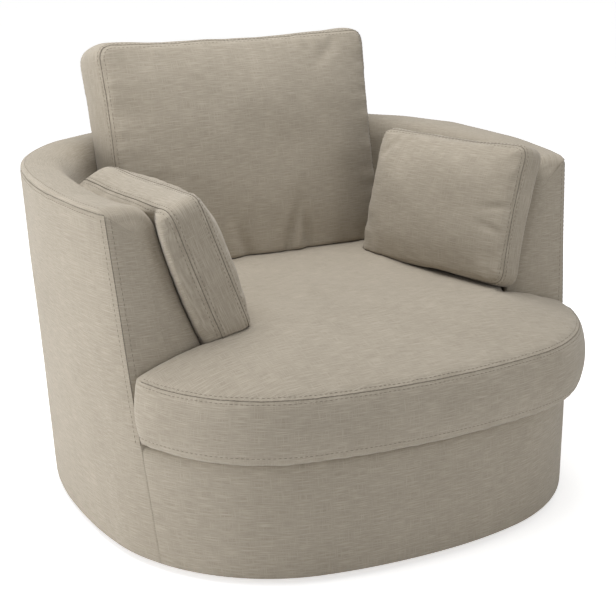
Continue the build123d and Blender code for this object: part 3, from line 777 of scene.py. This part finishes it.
# Cloth of each kind of cushion: swelling and its cap, easing rounds, unevenness, gathers, border, creases
SEAT_CLOTH = {"pressure": 1.5, "cap": 0.006, "ease": 10, "fold": 0.003, "gather": 0.003, "creases": ()}
BACK_CLOTH = {"pressure": 4.0, "cap": 0.014, "ease": 2, "fold": 0.004, "gather": 0.007, "bulge": 0.008,
              "creases": BACK_CREASES}
SIDE_CLOTH = {"pressure": 4.0, "cap": 0.008, "ease": 2, "fold": 0.005, "gather": 0.006, "bulge": 0.003,
              "creases": SIDE_CREASES}
OUTLINE_STEP = 0.012
EDGE_STEP = 0.003
FEWEST_POINTS = 8
CORNER_STEPS = 6
CROWN_FALL = 2.3
PILLOW_FALL = 2.6
BACK_FULLNESS = 0.78
SIDE_FULLNESS = 0.65
SIDE_OUTER_FULLNESS = 0.42
SIDE_DROP = 0.01
BACK_FIRMNESS = 0.9
BACK_CORNER = {"draw_in": 0.010, "corner": 0.032}
SIDE_CORNER = {"draw_in": 0.008, "corner": 0.028}
TOP_WAVE = (9.0, 0.005, 4.0)
BORDER_WAVE = (16.0, 0.0016, 2.0)
FOLD_SCALE, FOLD_SEED, FOLD_REACH = 11.0, 9.0, 0.05
GATHER_SCALE, GATHER_SEED, GATHER_REACH, GATHER_START = 48.0, 5.0, 0.030, 0.010
SKIN_SHARE = 0.75
SEAM_WIDTH = 1.4
SEAM_SINK = 0.0036
EASE_SHARE = 0.5
STEEP = 0.6
RIM_OVERHANG = 0.35
CUSHION_ROOM = 0.0015
SEAT_ROOM = 0.0006
SEAT_UNDERSIDE = 0.002
WALL_PULL = 0.06
WING_START, WING_RISE, WING_DEPTH = 0.015, 0.02, 0.03
BEHIND_REACH = 0.02
BESIDE_REACH = 0.05
RAY_TOP = 1.5
FRONT_STEPS = 60
REAR_STEPS = 80
CROWN_STEPS = 240


def boxed_outline(half_length, half_height, draw_in, corner):
    """Outline of a boxed cushion: round corners, with sides that are drawn in between them."""
    points = []
    for turn_x, turn_y, start in ((1, -1, -0.25), (1, 1, 0.0), (-1, 1, 0.25), (-1, -1, 0.5)):
        middle = Vector((turn_x * (half_length - corner), turn_y * (half_height - corner)))
        for step in range(CORNER_STEPS + 1):
            angle = (start + step / (4 * CORNER_STEPS)) * FULL_TURN
            points.append(middle + Vector((math.cos(angle), math.sin(angle))) * corner)
    dense = resample(points, OUTLINE_STEP)
    scale, height, seed = TOP_WAVE
    for point in dense:
        along_x = 1 - min(abs(point.x) / half_length, 1.0)**2
        along_y = 1 - min(abs(point.y) / half_height, 1.0)**2
        if abs(point.y) / half_height > abs(point.x) / half_length:
            wave = waver(Vector((point.x * scale, point.y, 0.0)), 1.0, height, seed)
            point.y -= math.copysign(draw_in * along_x + wave * along_x, point.y)
        else:
            point.x -= math.copysign(draw_in * along_y, point.x)
    return dense


def resample(points, step):
    """Evenly spaced points along a closed line."""
    closed = points + [points[0]]
    marks = running_length(closed)
    count = max(FEWEST_POINTS, round(marks[-1] / step))
    goals = (marks[-1] * number / count for number in range(count))
    return [point for point, _ in walk(closed, marks, goals)]


class Edge:
    """Distances to a cushion's outline."""

    def __init__(self, outline):
        self.dense = resample([point.to_2d() for point in outline], EDGE_STEP)
        self.tree = KDTree(len(self.dense))
        for index, point in enumerate(self.dense):
            self.tree.insert((point.x, point.y, 0.0), index)
        self.tree.balance()
        self.length = running_length(self.dense + [self.dense[0]])[-1]

    def near(self, place):
        """Distance to the outline, and the length along it to the nearest point."""
        _, index, distance = self.tree.find((place.x, place.y, 0.0))
        return distance, self.length * index / len(self.dense)


def blank_cushion(outline, low, high, voxel):
    """Even mesh of a plain slab with this outline, made by a voxel remesh."""
    bm = bmesh.new()
    lift_slab(bm, outline, low, high)
    bmesh.ops.recalc_face_normals(bm, faces=bm.faces)
    mesh = bpy.data.meshes.new("blank")
    bm.to_mesh(mesh)
    bm.free()
    blank = bpy.data.objects.new("blank", mesh)
    bpy.context.collection.objects.link(blank)
    remesh = blank.modifiers.new("even", "REMESH")
    remesh.mode = "VOXEL"
    remesh.voxel_size = voxel
    even = bpy.data.meshes.new_from_object(blank.evaluated_get(bpy.context.evaluated_depsgraph_get()))
    bpy.data.objects.remove(blank)
    return even


def edge_crown(distance, reach):
    """Share of the crown reached at a distance from the seam."""
    return 1 - (1 - share_of(distance, reach))**CROWN_FALL


def pillow_crown(half_length, half_height, drop, fullness):
    """Share of the crown over a four-cornered cushion, with its fullest point a little low."""

    def share(place):
        across = max(1 - abs(place.x / half_length)**PILLOW_FALL, 0.0)
        lower = drop * across
        upward = max(1 - abs((place.y + lower) / (half_height + lower))**PILLOW_FALL, 0.0)
        return (across * upward)**fullness

    return share


def crease_depth(place, crease):
    """Depth of a crease at a place of the cloth."""
    (x, y), angle, length, width, depth = crease
    ahead = (place.x - x) * math.cos(angle) + (place.y - y) * math.sin(angle)
    aside = (place.y - y) * math.cos(angle) - (place.x - x) * math.sin(angle)
    return depth * math.exp(-(ahead / length)**2 - (aside / width)**2)


def shape_cushion(mesh, edge, low, high, shape):
    """Move the points of a blank to the cushion's rest form, and list the points on its seams."""
    pins = []
    flat = [vert.co.copy() for vert in mesh.vertices]
    normals = [vert.normal.copy() for vert in mesh.vertices]
    skin = shape["voxel"] * SKIN_SHARE
    for vert, start, normal in zip(mesh.vertices, flat, normals):
        on_top = start.z > high - skin
        on_floor = start.z < low + skin
        if on_top:
            vert.co.z = high + shape["crown"] * shape["crown_at"](start)
        elif on_floor:
            vert.co.z = low - shape["rear_crown"] * shape["rear_at"](start)
        else:
            height = 2 * (start.z - low) / (high - low) - 1
            outward = Vector((normal.x, normal.y, 0.0))
            vert.co += outward * (shape["bulge"] * (1 - height**2) + waver(start, *BORDER_WAVE))
        if (on_top or on_floor) and edge.near(start)[0] < skin * SEAM_WIDTH:
            pins.append(vert.index)
    return pins, flat


def crumple(mesh, flat, edge, low, high, shape):
    """Gathers along the seams, slow unevenness and a few creases in the face towards the sitter."""
    skin = shape["voxel"] * SKIN_SHARE
    for vert, start in zip(mesh.vertices, flat):
        distance, along = edge.near(start)
        near_seam = math.exp(-distance / GATHER_REACH) * min(distance / GATHER_START, 1.0)
        spot = Vector((along * GATHER_SCALE, 0.0, 1.0))
        gather = near_seam * waver(spot, 1.0, shape["gather"], GATHER_SEED)
        if start.z > high - skin:
            fold = waver(start, FOLD_SCALE, shape["fold"], FOLD_SEED) * min(distance / FOLD_REACH, 1.0)
            vert.co.z += gather + fold - sum(crease_depth(start, crease) for crease in shape["creases"])
        elif start.z < low + skin:
            vert.co.z -= gather


def weave_cushion(mesh, flat, edge):
    """UV map of a cushion, in metres: straight over its faces and along its border."""
    layer = mesh.uv_layers.new(name="weave")
    for polygon in mesh.polygons:
        corners = [flat[index] for index in polygon.vertices]
        normal = (corners[1] - corners[0]).cross(corners[2] - corners[0])
        sideways = abs(normal.normalized().z) < STEEP
        marks = [edge.near(corner)[1] for corner in corners] if sideways else []
        wrapped = sideways and max(marks) - min(marks) > edge.length / 2
        for position, loop in enumerate(polygon.loop_indices):
            corner = corners[position]
            if sideways:
                along = marks[position]
                along += edge.length if wrapped and along < edge.length / 2 else 0.0
                layer.data[loop].uv = (along, corner.z)
            else:
                layer.data[loop].uv = (corner.x, corner.y)


def inflate(piece, pins, pressure, cap):
    """Swell a cushion by cloth simulation, held at its seams, and keep the moved points up to a cap."""
    rest = [vert.co.copy() for vert in piece.data.vertices]
    group = piece.vertex_groups.new(name="seams")
    group.add(pins, 1.0, "REPLACE")
    cloth = piece.modifiers.new("cloth", "CLOTH")
    settings = cloth.settings
    for key, value in CLOTH.items():
        setattr(settings, key, value)
    settings.uniform_pressure_force = pressure
    settings.effector_weights.gravity = 0.0
    cloth.collision_settings.use_collision = False
    scene = bpy.context.scene
    cloth.point_cache.frame_start = 1
    cloth.point_cache.frame_end = SIM_FRAMES
    for number in range(1, SIM_FRAMES + 1):
        scene.frame_set(number)
    swollen = piece.evaluated_get(bpy.context.evaluated_depsgraph_get()).to_mesh()
    moved = [vert.co.copy() for vert in swollen.vertices]
    piece.evaluated_get(bpy.context.evaluated_depsgraph_get()).to_mesh_clear()
    piece.modifiers.remove(cloth)
    piece.vertex_groups.remove(group)
    scene.frame_set(1)
    for vert, start, end in zip(piece.data.vertices, rest, moved):
        shift = end - start
        if shift.length > cap:
            shift *= cap / shift.length
        vert.co = start + shift


def relax(mesh, pins, rounds):
    """Ease sharp folds that the simulation left, away from the seams."""
    bm = bmesh.new()
    bm.from_mesh(mesh)
    held = set(pins)
    loose = [vert for vert in bm.verts if vert.index not in held]
    for _ in range(rounds):
        bmesh.ops.smooth_vert(bm, verts=loose, factor=EASE_SHARE, use_axis_x=True, use_axis_y=True,
                              use_axis_z=True)
    bm.to_mesh(mesh)
    bm.free()


def sink_seams(mesh, pins):
    """Pull the seam points a little into the cushion."""
    normals = [vert.normal.copy() for vert in mesh.vertices]
    for index in pins:
        mesh.vertices[index].co -= normals[index] * SEAM_SINK


def keep_inside_tub(tub, oval, place, room):
    """Move a place out of the tub's wall towards the middle, with a little overhang above the rim."""
    level = min(place.z, tub.rim)
    ahead = max(arm_front_at(tub, level) - room - place.y, 0.0)
    offset, turn = oval.offset_of(place - Vector((0.0, setback(tub, level), 0.0)))
    limit = inner_grow(tub, level, room) + RIM_OVERHANG * (place.z - level) + ahead
    if offset > limit:
        place -= heading(turn) * (offset - limit)
    return place


def hug_tub(tub, seat, oval, place):
    """Let the seat cushion follow the leaning wall and arm fronts, which its straight blank doesn't."""
    place.z = max(place.z, tub.deck + SEAT_ROOM)
    start = place.copy()
    middle = tub.deck + seat.thickness / 2
    front = arm_front_at(tub, middle)
    wall = inner_grow(tub, middle, seat.clearance)
    offset, turn = oval.offset_of(start - Vector((0.0, setback(tub, middle), 0.0)))
    past_wall = offset - wall
    close = share_of(past_wall + WALL_PULL, WALL_PULL)
    wing = share_of(past_wall - WING_START, WING_RISE)
    behind = share_of(start.y - front + BEHIND_REACH, BEHIND_REACH) * (1 - wing)
    beside = share_of(start.y - front + BESIDE_REACH, BESIDE_REACH) * (1 - behind)
    spread = inner_grow(tub, start.z, seat.clearance) - wall
    place += heading(turn) * spread * close * behind
    place.y += (setback(tub, start.z) - setback(tub, middle)) * close * behind
    place.y += (arm_front_at(tub, start.z) - front) * close * beside
    limit = arm_front_at(tub, place.z) - seat.clearance
    if wing > 0.5 and start.y < front + WING_DEPTH:
        place.y = min(place.y, limit)
    elif place.y > limit:
        place = keep_inside_tub(tub, oval, place, seat.clearance)
    return place


def sits_on(tree, place, room):
    """Lift a place onto the top of a cushion below it."""
    spot, _, _, _ = tree.ray_cast(Vector((place.x, place.y, RAY_TOP)), Vector((0.0, 0.0, -1.0)))
    if spot is not None and place.z < spot.z + room:
        place.z = spot.z + room
    return place


def solid_tree(piece):
    """Search tree of a finished cushion's surface."""
    return BVHTree.FromObject(piece, bpy.context.evaluated_depsgraph_get())


def dress(piece, body, *nodes):
    """Let a soft piece ride on its body and stand for its frame nodes."""
    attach(piece, body)
    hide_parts(*nodes)


def make_cushion(context, name, outline, low, high, shape, matrix, fit):
    """A padded cushion: shaped blank, simulated swelling, sunken seams, set in its place."""
    edge = Edge(outline)
    mesh = blank_cushion(outline, low, high, shape["voxel"])
    pins, flat = shape_cushion(mesh, edge, low, high, shape)
    weave_cushion(mesh, flat, edge)
    mesh.materials.clear()
    mesh.materials.append(linen_of(context))
    mesh.name = name
    piece = bpy.data.objects.new(name, mesh)
    context.collection.objects.link(piece)
    inflate(piece, pins, shape["pressure"], shape["cap"])
    relax(mesh, pins, shape["ease"])
    crumple(mesh, flat, edge, low, high, shape)
    sink_seams(mesh, pins)
    mesh.transform(matrix)
    for vert in mesh.vertices:
        vert.co = fit(vert.co.copy())
    mesh.update()
    for polygon in mesh.polygons:
        polygon.use_smooth = True
    smooth(piece, 1)
    return piece


def deck_outline(tub, level, room):
    """Plan of the space between the walls behind the arm fronts: its right front corner first."""
    oval = tub_oval(tub)
    grow = inner_grow(tub, level, room)
    first = arm_turn(tub, oval, level, grow)
    shift = Vector((0.0, setback(tub, level)))
    return [oval.point(turn, grow).to_2d() + shift for turn in rear_turns(first, REAR_STEPS)]


def front_turns(first):
    """Directions round a front, from its left end to its right end."""
    return even_turns(-math.pi - first, math.pi + 2 * first, FRONT_STEPS)


def seat_oval(seat, back_reach):
    """Oval whose front half is the front of the seat cushion."""
    return Oval(seat.half_width, seat.front_reach, back_reach, seat.end_radius, seat.side_radius,
                seat.corner_radius)


def seat_outline(tub, seat):
    """Outline of the seat cushion: a full-width front, and a rear part between the arms."""
    front_oval = seat_oval(seat, seat.front_reach)
    middle = tub.deck + seat.thickness / 2
    arm_y = arm_front_at(tub, middle) - seat.clearance
    first = front_oval.turn_at(arm_y, -seat.bulge)
    points = [front_oval.point(turn, -seat.bulge).to_2d() for turn in front_turns(first)]
    rear = deck_outline(tub, middle, seat.clearance)
    points.append(Vector((rear[0].x, arm_y)))
    points += rear[1:-1]
    points.append(Vector((rear[-1].x, arm_y)))
    return points


def set_in_place(centre, x_axis, z_axis):
    """Matrix that sets a cushion down: its length along X, its height along Y, its face towards Z."""
    rotation = Matrix((x_axis, z_axis.cross(x_axis), z_axis)).transposed().to_4x4()
    return Matrix.Translation(centre) @ rotation


def side_matrix(sign, centre, turn, lean, roll):
    """Place of a side cushion, with its inner face towards the sitter."""
    up = Vector((0.0, 0.0, 1.0))
    outward = Vector((sign * math.cos(turn), math.sin(turn), 0.0))
    rearward = Vector((-sign * math.sin(turn), math.cos(turn), 0.0))
    upward = up * math.cos(lean) + outward * math.sin(lean)
    normal = outward * math.cos(lean) - up * math.sin(lean)
    along = rearward * math.cos(roll) + upward * math.sin(roll)
    return set_in_place(centre, along * -sign, normal * -1)


# Stitching, and dark cords of painted shade along the seams

STITCH_OFFSET = 0.0060
TOPSTITCH = {"length": 0.0066, "pitch": 0.0090, "thickness": 0.0012}
# Dark cords laid along the seams, in the thread's colour: painted shade of the seam grooves
SEAM_SHADE_CORD = {"length": 0.0130, "pitch": 0.0085, "thickness": 0.0022}
WALL_ROW_STEPS = 240
ARM_ROW_STEPS = 40
# Rows of topstitching and of painted seam shade on the tub
SEAM_SHADE_BEHIND = 0.002
RIM_ROW_DEPTH = 0.010
RIM_ROW_RISE = 0.006
ARM_ROW_IN = 0.010
ARM_ROW_AHEAD = -0.002
ARM_ROW_FOOT = 0.005
# Rows of topstitching on the cushions: rise over the face, place on the border, height above the underside
SEAT_ROW_RISE, SEAT_ROW_OUT, SEAT_ROW_FOOT = 0.004, -0.004, 0.020
BACK_ROW_RISE, BACK_ROW_OUT = 0.008, -0.004
SIDE_ROW_RISE, SIDE_ROW_OUT, SIDE_REAR_RISE = 0.005, -0.003, 0.006


def lay_stitches(bm, tree, line, kind):
    """Small beads of thread along a line, pressed onto the surface next to it; set close, they make a dark
    cord of painted seam shade.
    """
    marks = running_length(line)
    count = int(marks[-1] / kind["pitch"])
    half = kind["thickness"] / 2
    goals = ((number + 0.5) * marks[-1] / count for number in range(count))
    for place, index in walk(line, marks, goals):
        spot, normal, _, _ = tree.find_nearest(place)
        side = normal.cross(line[index + 1] - line[index]).normalized()
        ahead = side.cross(normal)
        axes = Matrix((ahead * kind["length"] / 2, side * half, normal * half)).transposed().to_4x4()
        bmesh.ops.create_icosphere(bm, subdivisions=1, radius=1.0, matrix=Matrix.Translation(spot) @ axes)


def stitch(context, name, body, piece, folds, topstitches):
    """Dark cords of painted shade along the seams, and topstitching along lines on a finished piece."""
    tree = solid_tree(piece)
    bm = bmesh.new()
    for line in folds:
        lay_stitches(bm, tree, line, SEAM_SHADE_CORD)
    for line in topstitches:
        lay_stitches(bm, tree, line, TOPSTITCH)
    thread = shared_material("topstitch_thread", thread_and_seam_shade_material, context.scene.chair_linen)
    thread_and_shade_piece = finish_piece(name, bm, thread, 0)
    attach(thread_and_shade_piece, body)


def outline_row(outline, inset, level, matrix, closed=True):
    """Line that runs along a cushion's outline at one level, some way inside it."""
    row = []
    for index, point in enumerate(outline):
        ahead = outline[(index + 1) % len(outline)] - outline[index - 1]
        if not closed and index in (0, len(outline) - 1):
            continue
        inward = Vector((-ahead.y, ahead.x)).normalized()
        spot = point + inward * inset
        row.append(matrix @ Vector((spot.x, spot.y, level)))
    return row + [row[0]] if closed else row


def wall_row(tub, depth, level, behind):
    """Line round the wall at one level, from arm front to arm front."""
    oval = tub_oval(tub)
    grow = outer_grow(tub, level) - depth
    first = arm_turn(tub, oval, level, grow, behind)
    return [tub_point(tub, oval, turn, level, grow) for turn in rear_turns(first, WALL_ROW_STEPS)]


def arm_row(tub, sign, depth, behind, low, high):
    """Line up the outer edge of one arm front."""
    oval = tub_oval(tub)
    row = []
    for step in range(ARM_ROW_STEPS + 1):
        level = low + (high - low) * step / ARM_ROW_STEPS
        grow = outer_grow(tub, level) - depth
        spot = oval.point(arm_turn(tub, oval, level, grow, behind), grow)
        row.append(Vector((sign * spot.x, arm_front_at(tub, level) + behind, level)))
    return row


# Operators

DECK_GAP = 0.0008
DECK_ROOM = 0.002
DECK_FRONT_DEPTH = 0.062
DECK_STEP = 0.02
DECK_EDGE = 0.012
DECK_EDGE_DROP = -0.005


class CHAIR_OT_tub(bpy.types.Operator):
    """Upholster the tub's wall, rim and arm fronts, and the front of its base"""

    bl_idname = "chair.tub"
    bl_label = "Tub covers"

    def execute(self, context):
        tub = context.scene.chair_tub
        wall = finish_piece("tub_wall_cloth", tub_wall(tub), linen_of(context), 1)
        dress(wall, "tub", "outside_cover", "inside_cover", "outer_wadding", "inner_foam", "rim_foam",
              "left_arm_front_pad", "right_arm_front_pad")
        front = finish_piece("base_front_cloth", base_front(tub), linen_of(context), 1)
        dress(front, "tub", "front_base_cover", "base_wadding")
        seam = tub.rim - SEAM_BELOW_RIM
        # Dark cords along the rim seam and the arm fronts' seams: painted shade of the seam grooves
        folds = [wall_row(tub, 0.0, seam, SEAM_SHADE_BEHIND)]
        rows = [wall_row(tub, 0.0, seam - STITCH_OFFSET, tub.arm_round),
                wall_row(tub, RIM_ROW_DEPTH, tub.rim + RIM_ROW_RISE, tub.arm_round)]
        for sign in (-1, 1):
            folds.append(arm_row(tub, sign, 0.0, 0.0, tub.deck, seam))
            head = seam - STITCH_OFFSET
            rows.append(arm_row(tub, sign, 0.0, ARM_ROW_IN, tub.deck, head))
            rows.append(arm_row(tub, sign, ARM_ROW_IN, ARM_ROW_AHEAD, tub.deck + ARM_ROW_FOOT, head))
        stitch(context, "tub_topstitching", "tub", wall, folds, rows)
        self.line_deck(tub)
        return {"FINISHED"}

    def line_deck(self, tub):
        """The padded platform under the seat cushion, in its dark lining cloth."""
        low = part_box("deck_pad")[0][2]
        outline = deck_outline(tub, tub.deck, DECK_ROOM)
        oval = tub_oval(tub)
        shift = Vector((0.0, setback(tub, tub.deck)))
        grow = outer_grow(tub, tub.deck) - DECK_FRONT_DEPTH
        first = arm_turn(tub, oval, tub.deck, grow)
        outline += [oval.point(turn, grow).to_2d() + shift for turn in front_turns(first)]
        bm = bmesh.new()
        tops, lids = lift_slab(bm, resample(outline, DECK_STEP), low, tub.deck - DECK_GAP)
        bmesh.ops.inset_region(bm, faces=lids, thickness=DECK_EDGE, depth=0.0)
        bmesh.ops.translate(bm, verts=tops, vec=(0.0, 0.0, DECK_EDGE_DROP))
        piece = finish_piece("deck_platform_cloth", bm, hidden_finish("lining_cloth"), 0)
        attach(piece, "tub")
        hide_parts("deck_cloth", "deck_pad")


class CHAIR_OT_seat(bpy.types.Operator):
    """Make the seat cushion"""

    bl_idname = "chair.seat"
    bl_label = "Seat cushion"

    def execute(self, context):
        tub = context.scene.chair_tub
        seat = context.scene.chair_seat
        oval = tub_oval(tub)
        low = tub.deck + SEAT_UNDERSIDE
        top = tub.deck + seat.thickness
        whole = seat_oval(seat, seat.back_reach)
        edge = Edge([whole.point(FULL_TURN * step / CROWN_STEPS, -seat.bulge) for step in range(CROWN_STEPS)])
        shape = {**SEAT_CLOTH, "voxel": seat.voxel, "bulge": seat.bulge, "crown": seat.crown,
                 "crown_at": lambda place: edge_crown(edge.near(place)[0], seat.crown_reach),
                 "rear_crown": 0.0, "rear_at": lambda place: 0.0}
        outline = seat_outline(tub, seat)
        still = Matrix.Identity(4)
        piece = make_cushion(context, "seat_cushion_cloth", outline, low, top, shape, still,
                             lambda place: hug_tub(tub, seat, oval, place))
        dress(piece, "seat_cushion", "seat_cushion_cover", "seat_cushion_filling")
        front = outline[:FRONT_STEPS + 1]
        lines = ((STITCH_OFFSET, top + SEAT_ROW_RISE), (SEAT_ROW_OUT, top - STITCH_OFFSET),
                 (SEAT_ROW_OUT, low + SEAT_ROW_FOOT))
        rows = [outline_row(front, inset, level, still, False) for inset, level in lines]
        # Dark cord along the front's top seam: painted shade of the seam groove
        folds = [outline_row(front, 0.0, top, still, False)]
        stitch(context, "seat_topstitching", "seat_cushion", piece, folds, rows)
        return {"FINISHED"}


def boxed_cushion(context, name, outline, half, shape, matrix, lines):
    """A loose boxed cushion that rests on the seat and in the tub, with its seams, its stitching and dark
    cords of painted shade along the seams.
    """
    tub = context.scene.chair_tub
    oval = tub_oval(tub)
    seat_tree = solid_tree(bpy.data.objects["seat_cushion_cloth"])
    body = f"{name}_cushion"

    def fit(place):
        """Clear the seat cushion first, and then the wall."""
        return keep_inside_tub(tub, oval, sits_on(seat_tree, place, CUSHION_ROOM), CUSHION_ROOM)

    piece = make_cushion(context, f"{body}_cloth", outline, -half, half, shape, matrix, fit)
    dress(piece, body, f"{body}_cover", f"{body}_filling")
    rows = [outline_row(outline, inset, level, matrix) for inset, level in lines]
    # Dark cords along both seams: painted shade of the seam grooves
    folds = [outline_row(outline, 0.0, level, matrix) for level in (-half, half)]
    stitch(context, f"{name}_topstitching", body, piece, folds, rows)


class CHAIR_OT_back(bpy.types.Operator):
    """Make the back cushion"""

    bl_idname = "chair.back"
    bl_label = "Back cushion"

    def execute(self, context):
        back = context.scene.chair_back
        size = (back.width / 2, back.height / 2)
        half = back.border / 2
        crown_at = pillow_crown(*size, back.sag, BACK_FULLNESS)
        shape = {**BACK_CLOTH, "voxel": back.voxel, "crown": back.crown * BACK_FIRMNESS,
                 "rear_crown": back.rear_crown, "crown_at": crown_at, "rear_at": crown_at}
        normal = Vector((0.0, -math.cos(back.lean), math.sin(back.lean)))
        matrix = set_in_place(back.centre, Vector((1.0, 0.0, 0.0)), normal)
        lines = ((STITCH_OFFSET, half + BACK_ROW_RISE), (BACK_ROW_OUT, half - STITCH_OFFSET),
                 (BACK_ROW_OUT, STITCH_OFFSET - half))
        boxed_cushion(context, "back", boxed_outline(*size, **BACK_CORNER), half, shape, matrix, lines)
        return {"FINISHED"}


class CHAIR_OT_sides(bpy.types.Operator):
    """Make the two side cushions"""

    bl_idname = "chair.sides"
    bl_label = "Side cushions"

    def execute(self, context):
        side = context.scene.chair_side
        size = (side.length / 2, side.height / 2)
        half = side.border / 2
        shape = {**SIDE_CLOTH, "voxel": side.voxel, "crown": side.crown, "rear_crown": side.outer_crown,
                 "crown_at": pillow_crown(*size, SIDE_DROP, SIDE_FULLNESS),
                 "rear_at": pillow_crown(*size, SIDE_DROP, SIDE_OUTER_FULLNESS)}
        lines = ((STITCH_OFFSET, half + SIDE_ROW_RISE), (SIDE_ROW_OUT, half - STITCH_OFFSET),
                 (SIDE_ROW_OUT, STITCH_OFFSET - half), (STITCH_OFFSET, -half - SIDE_REAR_RISE))
        places = {"left": (-1, side.left_centre, side.left_turn, side.left_lean),
                  "right": (1, side.right_centre, side.right_turn, side.right_lean)}
        for name, (sign, centre, turn, lean) in places.items():
            matrix = side_matrix(sign, centre, turn, lean, side.roll)
            boxed_cushion(context, name, boxed_outline(*size, **SIDE_CORNER), half, shape, matrix, lines)
        return {"FINISHED"}


class CHAIR_OT_frame_finishes(bpy.types.Operator):
    """Give the frame pieces inside the chair their wood, steel, foam and felt"""

    bl_idname = "chair.frame_finishes"
    bl_label = "Frame finishes"

    def execute(self, context):
        slots = {entry["node"]: entry["material_slot"] for entry in frame["record"]["subparts"]}
        for node, piece in frame["nodes"].items():
            finish = slots[node]
            material = hidden_finish(finish) if finish in HIDDEN_FINISHES else linen_of(context)
            piece.data.materials.clear()
            piece.data.materials.append(material)
        return {"FINISHED"}


# Studio

FLOOR_RADIUS = 12.0
FLOOR_SEGMENTS = 96
FLOOR_ROUGHNESS = 0.9
FLOOR_SCALE = (2.0, 2.0, 2.0)
FLOOR_DETAIL = 2.0
FLOOR_SHADES = ((0.90, 0.90, 0.90), (0.92, 0.92, 0.92))
FLOOR_LIFT = 0.62
SENSOR_WIDTH = 36.0
# Soft lamps, by the setting of their power: place, aim and size
LAMPS = {"left": ((-2.8, 0.3, 0.5), (0.0, 0.0, 0.35), 1.5),
         "front": ((1.4, -3.2, 1.1), (0.0, 0.0, 0.4), 2.4),
         "top": ((-0.4, 0.2, 3.0), (0.0, 0.0, 0.4), 2.4)}


def set_up(name, data, place, aim):
    """Put a lamp or a camera in its place, looking at a point."""
    holder = bpy.data.objects.new(name, data)
    holder.location = place
    holder.rotation_euler = (Vector(aim) - Vector(place)).to_track_quat("-Z", "Y").to_euler()
    bpy.context.collection.objects.link(holder)
    return holder


class CHAIR_OT_studio(bpy.types.Operator):
    """Set the pale floor, the soft light and the camera"""

    bl_idname = "chair.studio"
    bl_label = "Studio"

    def execute(self, context):
        scene = context.scene
        studio = scene.chair_studio
        scene.view_settings.view_transform = "Standard"
        scene.world = self.white_world(studio.sky)
        bm = bmesh.new()
        bmesh.ops.create_circle(bm, cap_ends=True, segments=FLOOR_SEGMENTS, radius=FLOOR_RADIUS)
        floor = finish_piece("studio_floor", bm, self.floor_material(), 0)
        for key, (place, aim, size) in LAMPS.items():
            lamp = bpy.data.lights.new(f"{key}_lamp", "AREA")
            lamp.shape = "DISK"
            lamp.size = size
            lamp.energy = getattr(studio, key)
            set_up(f"{key}_lamp", lamp, place, aim)
        camera = bpy.data.cameras.new("photo_camera")
        camera.lens = studio.lens
        camera.sensor_width = SENSOR_WIDTH
        scene.camera = set_up("photo_camera", camera, studio.eye, studio.aim)
        return {"FINISHED"}

    def white_world(self, sky):
        """White to look at, and a softer light on the chair."""
        world = bpy.data.worlds.new("studio")
        graph = Graph(world)
        mix = graph.add("MixShader")
        graph.feed(mix.inputs[0], graph.seen_or_mirrored())
        for socket, strength in ((1, sky), (2, 1.0)):
            light = graph.add("Background", Color=WHITE, Strength=strength)
            graph.feed(mix.inputs[socket], light.outputs[0])
        graph.add("OutputWorld", Surface=mix.outputs[0])
        return world

    def floor_material(self):
        """Pale matt floor that keeps the soft shadow."""
        floor = Surface("pale_floor", FLOOR_ROUGHNESS)
        floor.paint(floor.object_noise(FLOOR_SCALE, FLOOR_DETAIL), *FLOOR_SHADES)
        floor.set("Emission Color", WHITE)
        floor.set("Emission Strength", floor.math("MULTIPLY", floor.seen_or_mirrored(), FLOOR_LIFT))
        return floor.material


# Add-on

OPERATORS = (CHAIR_OT_tub, CHAIR_OT_seat, CHAIR_OT_back, CHAIR_OT_sides, CHAIR_OT_frame_finishes,
             CHAIR_OT_studio)
SETTINGS = {"chair_tub": TubSettings, "chair_seat": SeatSettings, "chair_back": BackSettings,
            "chair_side": SideSettings, "chair_linen": LinenSettings, "chair_studio": StudioSettings}


class CHAIR_PT_panel(bpy.types.Panel):
    """Lists the chair's operators"""

    bl_label = "Round armchair"
    bl_space_type = "VIEW_3D"
    bl_region_type = "UI"
    bl_category = "Armchair"

    def draw(self, context):
        for operator in OPERATORS:
            self.layout.operator(operator.bl_idname)


def register():
    """Register the classes and hang the settings on the scene."""
    for name, group in SETTINGS.items():
        bpy.utils.register_class(group)
        setattr(bpy.types.Scene, name, PointerProperty(type=group))
    for kind in (*OPERATORS, CHAIR_PT_panel):
        bpy.utils.register_class(kind)


def unregister():
    """Undo register."""
    for kind in reversed((*OPERATORS, CHAIR_PT_panel)):
        bpy.utils.unregister_class(kind)
    for name, group in SETTINGS.items():
        delattr(bpy.types.Scene, name)
        bpy.utils.unregister_class(group)


def main():
    """Dress the chair and set up the studio."""
    register()
    bpy.ops.chair.tub()
    bpy.ops.chair.seat()
    bpy.ops.chair.back()
    bpy.ops.chair.sides()
    bpy.ops.chair.frame_finishes()
    bpy.ops.chair.studio()


if __name__ == "__main__":
    main()
